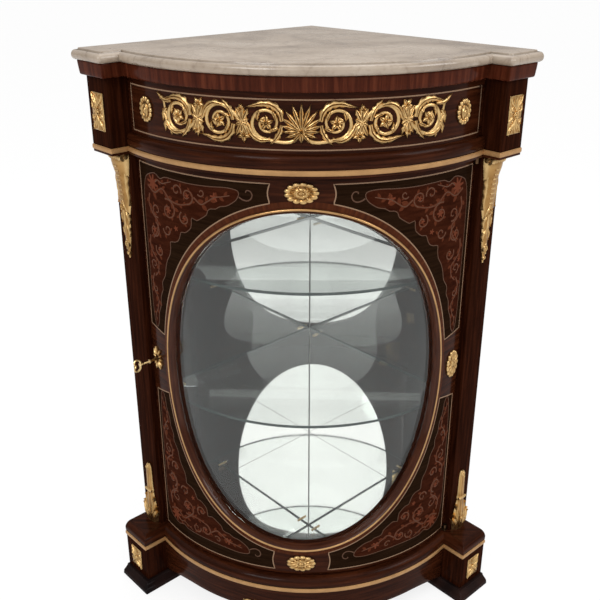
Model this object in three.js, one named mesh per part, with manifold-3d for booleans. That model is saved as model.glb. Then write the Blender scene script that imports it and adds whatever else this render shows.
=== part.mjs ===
// Corner curio cabinet: bow-front case with an oval glazed door, marble top and gilt mounts.
// Millimetres, Z up. The wall corner is at the back on +Y, the bowed front looks along -Y, X = 0 is
// the middle plane, and the origin is the middle of the footprint on the floor.
// On each side, reach is measured along the wall from the wall corner, and depth is measured
// square to that wall into the room. The whole front is bowed about one upright axis.
import * as THREE from 'three';
import { mergeVertices } from 'three/addons/utils/BufferGeometryUtils.js';
import Module from 'manifold-3d';

const wasm = await Module();
wasm.setup();

const { Vector2, Vector3 } = THREE;

// Plan of the case: the door sets the bow, and the other storeys stand out from door and stiles
const bowAxisDepth = 180;
const doorBowRadius = 374.5;
const doorThickness = 22;
const stileDepth = 61;
const stileWidth = 51;
const stileLipWidth = 13;
const friezeFaceWidth = 6;
const friezeEndWidth = 41;
const friezeBowWidth = 8.5;
const bandBowWidth = 17.5;
const plinthFaceWidth = 20;
const plinthEndWidth = 56;
const plinthBowWidth = 14.5;
const marbleOverhangLength = 23;
const marbleBowWidth = 24.5;
const wallGap = 4;
const seatGap = 0.3;
const overrunLength = 12;

// Heights, from the floor up
const footBaseHeight = 22;
const plinthHeight = 113.2;
const baseThickness = 21.4;
const doorHeight = 824.7;
const doorTopRailHeight = 66.85;
const doorBottomRailHeight = 75.85;
const doorSideWidth = 83.2;
const ceilingThickness = 14;
const friezeHeight = 149;
const corniceHeight = 26;
const marbleThickness = 19;

// Case panels
const backPanelThickness = 12;
const mirrorThickness = 4;
const friezeThickness = 22;
const apronThickness = 20;
const lowerShelfHeight = 309;
const upperShelfHeight = 594;
const shelfThickness = 6;
const shelfDoorClearance = 52.5;
const shelfFlattening = 18.5;
const floorMirrorClearance = 8;

// Hinges and lock
const leafThickness = 1.5;
const doorEdgeGap = 1.5;
const boltThrow = 8;

// Counts that set how finely curves are divided
const bowSegments = 24;
const ovalSegments = 40;
const roundSegments = 10;

const quarterTurn = Math.PI / 2;
const eighthTurn = Math.PI / 4;

const hingeRoom = 2 * leafThickness + 3 * seatGap;
const baseBottom = plinthHeight + seatGap;
const baseTop = baseBottom + baseThickness;
const doorBottom = baseTop + hingeRoom;
const doorTop = doorBottom + doorHeight;
const ceilingBottom = doorTop + hingeRoom;
const ceilingTop = ceilingBottom + ceilingThickness;
const friezeBottom = ceilingTop + seatGap;
const caseTop = friezeBottom + friezeHeight;
const marbleBottom = caseTop + seatGap;
const marbleTop = marbleBottom + marbleThickness;

const doorInnerRadius = doorBowRadius - doorThickness;
// The shelves' fronts are a little flatter than the bow of the door
const shelfFrontDepth = bowAxisDepth + doorInnerRadius - shelfDoorClearance;
const shelfFrontRadius = doorInnerRadius + shelfFlattening;
const doorEnd = stileDepth + doorEdgeGap;
const friezeDepth = stileDepth + friezeFaceWidth;
const friezeBowRadius = doorBowRadius + friezeBowWidth;
const plinthDepth = stileDepth + plinthFaceWidth;
const plinthBowRadius = doorBowRadius + plinthBowWidth;
const marbleDepth = friezeDepth + marbleOverhangLength;
const marbleBowRadius = friezeBowRadius + marbleBowWidth;
const bandBowRadius = doorBowRadius + bandBowWidth;
const caseDepth = bowAxisDepth + marbleBowRadius;

// The reach at which a bow of this radius meets the upright plane at this depth from the wall
function bowReach(radius, depth) {
  const middle = bowAxisDepth * Math.SQRT1_2;
  return middle + Math.sqrt(radius ** 2 - (depth - middle) ** 2);
}

// The angle at which a bow of this radius meets the upright plane at this depth from the wall
function bowEnd(radius, depth) {
  return Math.acos((depth - bowAxisDepth * Math.SQRT1_2) / radius) - eighthTurn;
}

const ovalHalfHeight = (doorHeight - doorTopRailHeight - doorBottomRailHeight) / 2;
const ovalHalfWidth = doorBowRadius * bowEnd(doorBowRadius, doorEnd) - doorSideWidth;
const ovalHeight = doorBottom + doorBottomRailHeight + ovalHalfHeight;

const stileReach = bowReach(doorBowRadius, doorEnd) + stileLipWidth;
const friezeReach = stileReach + friezeEndWidth;
const plinthReach = stileReach + plinthEndWidth;
const marbleReach = friezeReach + marbleOverhangLength;

const wood = { color: 0x2b1210, roughness: 0.28, metalness: 0 };
const veneer = { color: 0x4a1d12, roughness: 0.25, metalness: 0 };
const ebonised = { color: 0x150b0a, roughness: 0.3, metalness: 0 };
const gilt = { color: 0xb98a3e, roughness: 0.35, metalness: 1 };
const brass = { color: 0xb08d57, roughness: 0.4, metalness: 1 };
const steel = { color: 0x8c8882, roughness: 0.4, metalness: 1 };
const marble = { color: 0xb9a48d, roughness: 0.25, metalness: 0 };
const mirror = { color: 0xd9dcdc, roughness: 0.03, metalness: 1 };
const glass = { color: 0xdfe9e6, roughness: 0.05, metalness: 0 };

// A point of the plan from its reach along one wall and its depth from that wall
function planPoint(side, reach, depth) {
  return new Vector2(side * (reach - depth) * Math.SQRT1_2, -(reach + depth) * Math.SQRT1_2);
}

// A point of the plan on a circle about the bow axis, at an angle from straight ahead
function bowPoint(radius, angle) {
  return new Vector2(radius * Math.sin(angle), -bowAxisDepth - radius * Math.cos(angle));
}

function bowPath(radius, depth) {
  const end = bowEnd(radius, depth);
  const points = [];
  for (let i = 0; i <= bowSegments; i += 1) {
    points.push(bowPoint(radius, end * (1 - (2 * i) / bowSegments)));
  }
  return points;
}

// The front of one storey of the case: end face, return face, bow, return face, end face
function frontPath(storey, offset) {
  const reach = storey.reach + offset;
  const depth = storey.depth + offset;
  const bow = bowPath(storey.bow + offset, depth);
  return [planPoint(1, reach, storey.back), planPoint(1, reach, depth), ...bow,
    planPoint(-1, reach, depth), planPoint(-1, reach, storey.back)];
}

// A skin over rings of equal count. With an outline for its caps it is closed at both ends,
// and without one its last ring joins its first.
function loft(rings, capOutline) {
  const count = rings[0].length;
  const positions = rings.flat().flatMap((point) => point.toArray());
  const faces = [];
  const last = capOutline ? rings.length - 1 : rings.length;
  for (let i = 0; i < last; i += 1) {
    const here = i * count;
    const next = ((i + 1) % rings.length) * count;
    for (let j = 0; j < count; j += 1) {
      const k = (j + 1) % count;
      faces.push([here + j, here + k, next + k], [here + j, next + k, next + j]);
    }
  }
  if (capOutline) {
    const turn = THREE.ShapeUtils.isClockWise(capOutline) ? -1 : 1;
    for (const [a, b, c] of THREE.ShapeUtils.triangulateShape(capOutline, [])) {
      const start = turn > 0 ? [a, c, b] : [a, b, c];
      faces.push(start);
    }
    const end = (rings.length - 1) * count;
    for (const [a, b, c] of THREE.ShapeUtils.triangulateShape(capOutline, [])) {
      const finish = turn > 0 ? [end + a, end + b, end + c] : [end + a, end + c, end + b];
      faces.push(finish);
    }
  }
  return facesOutward(positions, capOutline ? matchCaps(faces, rings, capOutline) : faces);
}

// The caps come from a flat outline whose turning may differ from the rings', so each cap is
// turned until its edges run against those of the wall
function matchCaps(faces, rings, capOutline) {
  const count = rings[0].length;
  const wallFaces = 2 * count * (rings.length - 1);
  const walls = faces.slice(0, wallFaces);
  const caps = faces.slice(wallFaces);
  const edges = new Set(walls.flatMap(([a, b, c]) => [`${a} ${b}`, `${b} ${c}`, `${c} ${a}`]));
  const half = caps.length / 2;
  const turned = [caps.slice(0, half), caps.slice(half)].map((cap) => {
    const clash = cap.some(([a, b, c]) => [[a, b], [b, c], [c, a]].some(([p, q]) => edges.has(`${p} ${q}`)));
    return clash ? cap.map(([a, b, c]) => [a, c, b]) : cap;
  });
  return [...walls, ...turned.flat()];
}

// A geometry whose faces point out: the sign of the enclosed volume says if they must be turned
function facesOutward(positions, faces) {
  const corner = (i) => new Vector3().fromArray(positions, 3 * i);
  let volume = 0;
  for (const [a, b, c] of faces) volume += corner(a).dot(corner(b).cross(corner(c)));
  const index = faces.flatMap(([a, b, c]) => (volume > 0 ? [a, b, c] : [a, c, b]));
  const geometry = new THREE.BufferGeometry();
  geometry.setAttribute('position', new THREE.Float32BufferAttribute(positions, 3));
  geometry.setIndex(index);
  return geometry;
}

// Solids for cuts and joins
function solid(geometry) {
  const bare = geometry.clone();
  bare.deleteAttribute('normal');
  bare.deleteAttribute('uv');
  const merged = mergeVertices(bare);
  return new wasm.Manifold(new wasm.Mesh({
    numProp: 3,
    vertProperties: new Float32Array(merged.attributes.position.array),
    triVerts: new Uint32Array(merged.index.array),
  }));
}

function geometryOf(body) {
  const mesh = body.getMesh();
  const geometry = new THREE.BufferGeometry();
  geometry.setAttribute('position', new THREE.Float32BufferAttribute(mesh.vertProperties, 3));
  geometry.setIndex(Array.from(mesh.triVerts));
  return geometry;
}

function cut(geometry, ...tools) {
  return geometryOf(tools.reduce((body, tool) => body.subtract(solid(tool)), solid(geometry)));
}

function join(...pieces) {
  return geometryOf(pieces.slice(1).reduce((body, piece) => body.add(solid(piece)), solid(pieces[0])));
}

function common(geometry, tool) {
  return geometryOf(solid(geometry).intersect(solid(tool)));
}

// A slab or board: its plan outline at each level, as pairs of height and offset
function slab(outlineAt, levels) {
  const rings = levels.map(([z, offset]) => outlineAt(offset).map((p) => new Vector3(p.x, p.y, z)));
  return loft(rings, outlineAt(0));
}

// A moulding: its profile, as pairs of offset and height, run along a path of the plan
function moulding(pathAt, profile) {
  const paths = profile.map(([offset]) => pathAt(offset));
  const rings = paths[0].map((point, i) => profile.map(([, z], j) => (
    new Vector3(paths[j][i].x, paths[j][i].y, z))));
  return loft(rings, profile.map(([offset, z]) => new Vector2(offset, z)));
}

// A box between limits in a side frame: reach, depth and height
function sideBox(side, reaches, depths, heights) {
  const size = (pair) => pair[1] - pair[0];
  const middle = (pair) => (pair[0] + pair[1]) / 2;
  const geometry = new THREE.BoxGeometry(size(depths), size(reaches), size(heights));
  return geometry.translate(-side * middle(depths), -middle(reaches), middle(heights));
}

// A round bar in a side frame, along the wall or square to it
function sideRod(side, radius, reaches, depths, height) {
  const along = depths[0] === depths[1];
  const length = along ? reaches[1] - reaches[0] : depths[1] - depths[0];
  const bar = new THREE.CylinderGeometry(radius, radius, length, roundSegments);
  if (!along) bar.rotateZ(quarterTurn);
  return bar.translate(-side * (depths[0] + depths[1]) / 2, -(reaches[0] + reaches[1]) / 2, height);
}

// Groups: the case frame at the wall corner, a frame turned to each side, and one on the bow axis
const cabinet = new THREE.Group();
const caseFrame = new THREE.Group();
caseFrame.position.y = caseDepth / 2;
cabinet.add(caseFrame);

const sideFrames = {};
for (const side of [-1, 1]) {
  sideFrames[side] = new THREE.Group();
  sideFrames[side].rotation.z = side * eighthTurn;
  caseFrame.add(sideFrames[side]);
}

const sideName = (side) => (side < 0 ? 'left' : 'right');

function place(parent, name, geometry, look) {
  const finished = geometry.index ? geometry.toNonIndexed() : geometry;
  finished.deleteAttribute('normal');
  finished.deleteAttribute('uv');
  finished.computeVertexNormals();
  const mesh = new THREE.Mesh(finished, new THREE.MeshStandardMaterial(look));
  mesh.name = name;
  parent.add(mesh);
  return mesh;
}

// Marble top: a stepped fillet on the upper edge over a rounded nose
const marbleStep = 1.6;
const marbleFillet = 12;
const marbleNose = 6;
function marbleOutline(offset) {
  const storey = { reach: marbleReach, depth: marbleDepth, bow: marbleBowRadius, back: 0 };
  return [new Vector2(0, 0), ...frontPath(storey, offset)];
}
place(caseFrame, 'marble_top', slab(marbleOutline, [
  [marbleBottom, -marbleNose],
  [marbleBottom + marbleNose * 0.35, -marbleNose * 0.3],
  [marbleBottom + marbleNose, 0],
  [marbleBottom + marbleNose * 1.7, 0],
  [marbleTop - marbleStep - marbleNose * 0.4, -marbleNose * 0.3],
  [marbleTop - marbleStep, -marbleNose],
  [marbleTop - marbleStep, -marbleFillet],
  [marbleTop, -marbleFillet - marbleStep],
]), marble);

// Cornice: crossbanded moulding planted on the frieze and its blocks, under the marble
const corniceProjection = 12;
const corniceLip = 3;
const friezeStorey = { reach: friezeReach, depth: friezeDepth, bow: friezeBowRadius, back: wallGap };
place(caseFrame, 'cornice', moulding((offset) => frontPath(friezeStorey, offset), [
  [seatGap, caseTop],
  [seatGap, caseTop - corniceHeight],
  [corniceProjection - corniceLip, caseTop - corniceHeight],
  [corniceProjection, caseTop - corniceHeight + corniceLip],
  [corniceProjection + corniceLip, caseTop - corniceLip],
  [corniceProjection + corniceLip, caseTop],
]), veneer);

// Frieze: a bowed panel between two square blocks, with a rounded moulding along its foot
const friezeMouldingHeight = 25;
const friezeEnd = friezeDepth + seatGap;
place(caseFrame, 'frieze_panel', moulding((offset) => bowPath(friezeBowRadius + offset, friezeEnd), [
  [0, friezeBottom],
  [0, caseTop],
  [-friezeThickness, caseTop],
  [-friezeThickness, friezeBottom],
]), wood);
const friezeMouldingTop = friezeBottom + friezeMouldingHeight;
const friezeMouldingOut = bandBowRadius - friezeBowRadius;
place(caseFrame, 'frieze_moulding', moulding((offset) => bowPath(friezeBowRadius + offset, friezeEnd), [
  [seatGap, friezeBottom],
  [friezeMouldingOut, friezeBottom],
  [friezeMouldingOut * 1.25, friezeBottom + friezeMouldingHeight * 0.35],
  [friezeMouldingOut, friezeBottom + friezeMouldingHeight * 0.7],
  [friezeMouldingOut * 0.5, friezeMouldingTop - friezeMouldingHeight * 0.08],
  [seatGap, friezeMouldingTop],
]), wood);
const stileBack = stileReach - stileWidth;
for (const side of [-1, 1]) {
  place(sideFrames[side], `frieze_block_${sideName(side)}`,
    sideBox(side, [stileBack, friezeReach], [wallGap, friezeDepth], [friezeBottom, caseTop]), wood);
}

// Boards: they run in front of the back panels and out to the wall side of the posts
const panelFront = wallGap + backPanelThickness + seatGap;
function boardOutline(storey, offset) {
  const notch = (side) => [planPoint(side, stileBack, panelFront), planPoint(side, stileBack, wallGap)];
  return [planPoint(1, panelFront, panelFront), ...notch(1), ...frontPath(storey, offset),
    ...notch(-1).reverse()];
}
const bandThickness = 2.2;
const bandHeight = 9;
const ceilingStorey = {
  reach: friezeReach - seatGap, depth: friezeDepth - seatGap, bow: bandBowRadius - seatGap, back: wallGap,
};
place(caseFrame, 'ceiling_board', slab((offset) => boardOutline(ceilingStorey, offset), [
  [ceilingBottom, 0],
  [ceilingTop, 0],
]), wood);

// Gilt band on the edge of the ceiling board
place(caseFrame, 'gilt_band', moulding((offset) => frontPath(ceilingStorey, offset), [
  [seatGap, ceilingTop - bandHeight],
  [bandThickness, ceilingTop - bandHeight],
  [bandThickness, ceilingTop],
  [seatGap, ceilingTop],
]), gilt);

// Base board: its front edge is rounded over the plinth
const baseRound = 14;
const baseStorey = { reach: plinthReach, depth: plinthDepth, bow: plinthBowRadius, back: wallGap };
place(caseFrame, 'base_board', slab((offset) => boardOutline(baseStorey, offset), [
  [baseBottom, 0],
  [baseBottom + baseRound * 0.3, baseRound * 0.1],
  [baseBottom + baseRound * 0.75, 0],
  [baseTop - baseRound * 0.3, -baseRound * 0.35],
  [baseTop - baseRound * 0.1, -baseRound * 0.7],
  [baseTop, -baseRound],
]), wood);

// Plinth: a bowed apron rail with a shaped lower edge between the two foot blocks
const apronFootHeight = 24;
const apronArchHeight = 47;
const apronPendantHeight = 26;
const apronPendantHalf = 150;
const apronArchEnd = 240;
function apronEdge(arc) {
  const pendant = Math.max(0, 1 - Math.abs(arc) / apronPendantHalf);
  const foot = THREE.MathUtils.clamp((Math.abs(arc) - apronArchEnd) / (plinthBowRadius - apronArchEnd), 0, 1);
  const pendantDrop = (apronArchHeight - apronPendantHeight) * (1 - Math.cos(Math.PI * pendant)) / 2;
  const footDrop = (apronArchHeight - apronFootHeight) * Math.min(1, 2 * foot * foot);
  return apronArchHeight - pendantDrop - footDrop;
}
const apronEnd = plinthDepth + seatGap;
const apronPaths = [0, -apronThickness].map((offset) => bowPath(plinthBowRadius + offset, apronEnd));
const apronRings = apronPaths[0].map((outer, i) => {
  const inner = apronPaths[1][i];
  const angle = bowEnd(plinthBowRadius, plinthDepth) * (1 - (2 * i) / bowSegments);
  const foot = apronEdge(plinthBowRadius * angle);
  return [new Vector3(outer.x, outer.y, foot), new Vector3(outer.x, outer.y, plinthHeight),
    new Vector3(inner.x, inner.y, plinthHeight), new Vector3(inner.x, inner.y, foot)];
});
const apronSection = [new Vector2(0, 0), new Vector2(0, plinthHeight),
  new Vector2(-apronThickness, plinthHeight), new Vector2(-apronThickness, 0)];
place(caseFrame, 'apron_rail', loft(apronRings, apronSection), wood);

// Gilt line round the top of the plinth
const lineHeight = 9.5;
const lineThickness = 2.4;
place(caseFrame, 'plinth_gilt_line', moulding((offset) => frontPath(baseStorey, offset), [
  [seatGap, plinthHeight - lineHeight],
  [lineThickness, plinthHeight - lineHeight],
  [lineThickness, plinthHeight],
  [seatGap, plinthHeight],
]), gilt);

// Foot blocks on their moulded bases
const footBaseOut = 17;
// The base's moulding, as shares of its height and of its projection
const footBaseShares = [[0, 0.95], [0.1, 1], [0.42, 0.97], [0.62, 0.72], [0.8, 0.4], [1, 0.3]];
const footBottom = footBaseHeight + seatGap;
for (const side of [-1, 1]) {
  place(sideFrames[side], `foot_block_${sideName(side)}`,
    sideBox(side, [stileBack, plinthReach], [wallGap, plinthDepth], [footBottom, plinthHeight]), wood);
  const ring = (z, out) => [
    [stileBack, wallGap], [plinthReach + out, wallGap],
    [plinthReach + out, plinthDepth + out], [stileBack, plinthDepth + out],
  ].map(([reach, depth]) => new Vector3(-side * depth, -reach, z));
  const rings = footBaseShares.map(([rise, out]) => ring(rise * footBaseHeight, out * footBaseOut));
  place(sideFrames[side], `foot_base_${sideName(side)}`,
    loft(rings, ring(0, footBaseOut).map((p) => new Vector2(p.x, p.y))), ebonised);
}

// Stiles: square posts between the base board and the ceiling board. The left one has the
// recess for the strike plate and the slot that takes the bolt.
const lockHeight = ovalHeight;
const boltHeight = 16;
const boltThickness = 6;
const boltRise = 7;
const caseWall = 2;
// Reach of the door's inner face at its end, where the lock is let in
const lockReach = bowReach(doorInnerRadius, doorEnd);
const lockThickness = 11;
const lockMiddle = lockReach + lockThickness * 0.46;
const boltReaches = [lockMiddle - boltThickness / 2, lockMiddle + boltThickness / 2];
const boltHeights = [lockHeight + boltRise, lockHeight + boltRise + boltHeight];
const strikeThickness = 1.4;
const strikeMargin = 5;

function widen(pair, margin) {
  return [pair[0] - margin, pair[1] + margin];
}

const stileBottom = baseTop + seatGap;
const stileTop = ceilingBottom - seatGap;
function stileBox(side) {
  return sideBox(side, [stileBack, stileReach], [wallGap, stileDepth], [stileBottom, stileTop]);
}
const slotReaches = widen(boltReaches, seatGap);
const slotHeights = widen(boltHeights, seatGap);
const slotDepths = [stileDepth - boltThrow - overrunLength / 2, stileDepth + overrunLength];
const strikeReaches = widen(boltReaches, strikeMargin);
const strikeHeights = widen(boltHeights, 2 * strikeMargin);
const strikeDepths = [stileDepth - strikeThickness, stileDepth];
const strikeRecess = sideBox(-1, widen(strikeReaches, seatGap),
  [strikeDepths[0] - seatGap, stileDepth + overrunLength], widen(strikeHeights, seatGap));
const boltSlot = sideBox(-1, slotReaches, slotDepths, slotHeights);
place(sideFrames[-1], 'stile_left', cut(stileBox(-1), strikeRecess, boltSlot), wood);
place(sideFrames[1], 'stile_right', stileBox(1), wood);
place(sideFrames[-1], 'strike_plate',
  cut(sideBox(-1, strikeReaches, strikeDepths, strikeHeights), boltSlot), brass);

// Back panels, mitred at the wall corner, with the mirrors in front of them
const pinRadius = 3;
const pinLength = 24;
const pinBuried = 9;
const pinInset = 53;
const pinReach = stileBack - pinInset;
const cornerPinReach = 48;
const panelEnd = stileBack - seatGap;
const mirrorBack = panelFront;
const mirrorFront = mirrorBack + mirrorThickness;
const shelfBottoms = {
  lower: baseTop + lowerShelfHeight - shelfThickness,
  upper: baseTop + upperShelfHeight - shelfThickness,
};
const pinHeights = Object.values(shelfBottoms).map((z) => z - seatGap - pinRadius);
function mitredPanel(side, depths, heights) {
  const outline = [
    [depths[0] + seatGap, depths[0]], [depths[1] + seatGap, depths[1]],
    [panelEnd, depths[1]], [panelEnd, depths[0]],
  ].map(([reach, depth]) => new Vector2(-side * depth, -reach));
  const rings = heights.map((z) => outline.map((p) => new Vector3(p.x, p.y, z)));
  return loft(rings, outline);
}
function pinHoles(side, depths) {
  const reaches = side > 0 ? [pinReach, cornerPinReach] : [pinReach];
  return reaches.flatMap((reach) => pinHeights.map((z) => (
    sideRod(side, pinRadius + seatGap, [reach, reach], depths, z))));
}
for (const side of [-1, 1]) {
  const blindHole = [mirrorFront - pinBuried - seatGap, mirrorFront + overrunLength];
  place(sideFrames[side], `back_panel_${sideName(side)}`, cut(
    mitredPanel(side, [wallGap, wallGap + backPanelThickness], [0, caseTop]),
    ...pinHoles(side, blindHole)), wood);
  place(sideFrames[side], `back_mirror_${sideName(side)}`, cut(
    mitredPanel(side, [mirrorBack, mirrorFront], [baseTop + seatGap, ceilingBottom - seatGap]),
    ...pinHoles(side, [mirrorBack - overrunLength / 2, mirrorFront + overrunLength])), mirror);
}

// Shelf pins: round brass pegs with a domed end
function shelfPin(side, reach, height) {
  const profile = [new Vector2(0, 0), new Vector2(pinRadius, 0)];
  profile.push(new Vector2(pinRadius, pinLength - pinRadius / 2));
  profile.push(new Vector2(pinRadius * 0.7, pinLength), new Vector2(0, pinLength));
  const peg = new THREE.LatheGeometry(profile, roundSegments).rotateZ(side * quarterTurn);
  return peg.translate(-side * (mirrorFront - pinBuried), -reach, height);
}
Object.keys(shelfBottoms).forEach((shelf, i) => {
  place(sideFrames[-1], `shelf_pin_${shelf}_left`, shelfPin(-1, pinReach, pinHeights[i]), brass);
  place(sideFrames[1], `shelf_pin_${shelf}_right`, shelfPin(1, pinReach, pinHeights[i]), brass);
  place(sideFrames[1], `shelf_pin_${shelf}_corner`, shelfPin(1, cornerPinReach, pinHeights[i]), brass);
});

// Inside the case: a floor mirror and two glass shelves, straight at the walls and bowed in front
const glassSetback = mirrorFront + seatGap * 2;
function bowedSheet(frontRadius, frontDistance, z, thickness) {
  const centre = frontDistance - frontRadius;
  // Where the front arc meets the line just in front of the mirror: x, and y = -x - rise
  const rise = glassSetback * Math.SQRT2;
  const shift = centre - rise;
  const halfWidth = (shift + Math.sqrt(2 * frontRadius ** 2 - shift ** 2)) / 2;
  const end = Math.atan2(halfWidth, halfWidth + rise - centre);
  const outline = [new Vector2(0, -rise)];
  for (let i = 0; i <= bowSegments; i += 1) {
    const angle = end * (1 - (2 * i) / bowSegments);
    outline.push(new Vector2(frontRadius * Math.sin(angle), -centre - frontRadius * Math.cos(angle)));
  }
  return loft([z, z + thickness].map((level) => outline.map((p) => new Vector3(p.x, p.y, level))), outline);
}
const floorMirrorBow = doorInnerRadius - floorMirrorClearance;
const floorMirrorBottom = baseTop + seatGap;
const stileCorner = sideBox(1, [stileBack - 2 * seatGap, stileReach], [0, stileDepth + 2 * seatGap],
  [floorMirrorBottom - overrunLength, floorMirrorBottom + overrunLength]);
const stileCorners = [-1, 1].map((side) => {
  const corner = side > 0 ? stileCorner : stileCorner.clone().scale(-1, 1, 1);
  return side > 0 ? corner.rotateZ(eighthTurn) : turnedInsideOut(corner).rotateZ(-eighthTurn);
});
function turnedInsideOut(geometry) {
  const index = Array.from(geometry.index.array);
  for (let i = 0; i < index.length; i += 3) [index[i + 1], index[i + 2]] = [index[i + 2], index[i + 1]];
  geometry.setIndex(index);
  return geometry;
}
place(caseFrame, 'floor_mirror', cut(
  bowedSheet(floorMirrorBow, bowAxisDepth + floorMirrorBow, floorMirrorBottom, mirrorThickness),
  ...stileCorners), mirror);
for (const [shelf, z] of Object.entries(shelfBottoms)) {
  place(caseFrame, `glass_shelf_${shelf}`,
    bowedSheet(shelfFrontRadius, shelfFrontDepth, z, shelfThickness), glass);
}

// Door: a bowed panel with an oval opening, drawn on the unrolled face and cut square to it
const rebateWidth = 8;
// How far behind its seat the back of a trimmed ornament is first drawn
const mountRoot = 1.6;
const plugMargin = 2;
// A straight facet of an ornament dips below the round face, so its corners sit this far off it
const facetGap = 0.75;
const lipThickness = 10;
const glassThickness = 4;
// A ring of points round the oval, grown by an offset, at a radius from the bow axis
function ovalRing(offset, radius) {
  const ring = [];
  for (let i = 0; i < ovalSegments; i += 1) {
    const turn = (2 * Math.PI * i) / ovalSegments;
    const slope = new Vector2(Math.cos(turn) / ovalHalfWidth, Math.sin(turn) / ovalHalfHeight).normalize();
    const arc = ovalHalfWidth * Math.cos(turn) + slope.x * offset;
    const z = ovalHeight + ovalHalfHeight * Math.sin(turn) + slope.y * offset;
    const point = bowPoint(radius, arc / doorBowRadius);
    ring.push(new Vector3(point.x, point.y, z));
  }
  return ring;
}
// A plug with the oval's outline that runs square to the bow, right through the door. Its wall is
// true between the two inner radii.
function ovalPlug(offset, near, far) {
  const radii = [farIn, near - plugMargin, far + plugMargin, farOut];
  const rings = radii.map((radius) => ovalRing(offset, radius));
  return loft(rings, ovalRing(offset, doorBowRadius).map((p) => new Vector2(p.x, p.z)));
}
// A bead round the oval: its profile, as pairs of offset from the opening and radius
function ovalMoulding(profile) {
  const columns = profile.map(([offset, radius]) => ovalRing(offset, radius));
  return loft(columns[0].map((point, i) => columns.map((column) => column[i])));
}
const farIn = doorInnerRadius - 8 * overrunLength;
const farOut = 2 * doorBowRadius;
const rebateFace = doorBowRadius - lipThickness;
const bow = (radius) => bowPath(radius, doorEnd);
const doorBlank = moulding((offset) => bow(doorBowRadius + offset), [
  [0, doorBottom],
  [0, doorTop],
  [-doorThickness, doorTop],
  [-doorThickness, doorBottom],
]);

// Lock: let into the inner face of the door at its left edge. The key turns about an axis
// along the reach, and its bit swings in a round chamber below the bolt.
const lockLength = 46;
const lockHeightTotal = 62;
const keyBackset = 27;
const bitLength = 9.4;
const bitThickness = 2.4;
const bitWidth = 5;
const shankRadius = 2.4;
const keyholeClearance = 0.7;
const keyDepth = doorEnd + keyBackset;
const lockDepths = [doorEnd + seatGap, doorEnd + lockLength];
const lockHeights = [lockHeight - lockHeightTotal / 2, lockHeight + lockHeightTotal / 2];
const lockReaches = [lockReach + 2 * seatGap, lockReach + lockThickness];
const keyFaceRise = 4;
const keyReachOuter = bowReach(doorBowRadius, doorEnd) + keyFaceRise;
const lockRecess = sideBox(-1, [lockReach - overrunLength, lockReaches[1] + seatGap],
  [doorEnd - overrunLength, lockDepths[1] + seatGap], widen(lockHeights, seatGap));
function keyhole(reaches) {
  const slotHalf = bitThickness / 2 + keyholeClearance;
  const hole = sideRod(-1, shankRadius + keyholeClearance, reaches, [keyDepth, keyDepth], lockHeight);
  const slot = sideBox(-1, reaches, [keyDepth - slotHalf, keyDepth + slotHalf],
    [lockHeight - bitLength - keyholeClearance, lockHeight]);
  return join(hole, slot);
}
// From a side frame, where the lock lies square, to the frame of the case
const toCase = (geometry, side) => geometry.clone().rotateZ(side * eighthTurn);
// All that lies within a bowed face between two heights, down to a radius well inside the door
function behindBow(radius, end, heights) {
  return moulding((offset) => bowPath(radius + offset, end), [
    [0, heights[0]],
    [0, heights[1]],
    [farIn - radius, heights[1]],
    [farIn - radius, heights[0]],
  ]);
}
const doorHeights = [doorBottom, doorTop];
const rebate = common(behindBow(rebateFace, doorEnd, doorHeights),
  ovalPlug(rebateWidth, doorInnerRadius, rebateFace));
const doorCuts = [
  ovalPlug(0, doorInnerRadius, doorBowRadius),
  rebate,
  toCase(lockRecess, -1),
  toCase(keyhole([lockReach, keyReachOuter + 4 * overrunLength]), -1),
];
place(caseFrame, 'door_frame', cut(doorBlank, ...doorCuts), wood);

const glassOuter = rebateFace - seatGap;
const glassInner = glassOuter - glassThickness;
const glassBlank = moulding((offset) => bow(glassOuter + offset), [
  [0, doorBottom],
  [0, doorTop],
  [-glassThickness, doorTop],
  [-glassThickness, doorBottom],
]);
place(caseFrame, 'door_glass',
  common(glassBlank, ovalPlug(rebateWidth - seatGap, doorInnerRadius, rebateFace)), glass);
const beadTop = glassInner - seatGap;
place(caseFrame, 'glazing_bead', ovalMoulding([
  [seatGap, beadTop],
  [rebateWidth - 2 * seatGap, beadTop],
  [rebateWidth - 2 * seatGap, doorInnerRadius],
  [rebateWidth * 0.4, doorInnerRadius],
]), wood);
const ringWidth = 14;
const ringRise = 5;
const ringSeat = doorBowRadius + facetGap;
place(caseFrame, 'oval_moulding', ovalMoulding([
  [seatGap, ringSeat],
  [ringWidth, ringSeat],
  [ringWidth * 0.9, ringSeat + ringRise],
  [ringWidth * 0.4, ringSeat + ringRise * 0.7],
  [seatGap, ringSeat + ringRise * 0.2],
]), veneer);
const beadWidth = 5;
const beadStart = ringWidth + seatGap;
place(caseFrame, 'oval_gilt_bead', ovalMoulding([
  [beadStart, ringSeat],
  [beadStart + beadWidth, ringSeat],
  [beadStart + beadWidth * 0.85, ringSeat + ringRise * 0.9],
  [beadStart + beadWidth * 0.15, ringSeat + ringRise * 0.9],
]), gilt);

// Lock case with a channel for the bolt, a round chamber for the bit, and its keyhole
const chamberRadius = bitLength + 2 * seatGap;
const chamberReaches = [boltReaches[0] - seatGap, lockReaches[1] - caseWall];
const lockBody = sideBox(-1, lockReaches, lockDepths, lockHeights);
const boltDepths = [lockDepths[0], lockDepths[1] - caseWall - boltThrow / 2];
const channel = sideBox(-1, slotReaches, [doorEnd - overrunLength, boltDepths[1] + seatGap], slotHeights);
const chamber = sideRod(-1, chamberRadius, chamberReaches, [keyDepth, keyDepth], lockHeight);
place(sideFrames[-1], 'lock_case', cut(lockBody, channel, chamber,
  keyhole([lockMiddle, lockReaches[1] + overrunLength])), brass);

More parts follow.
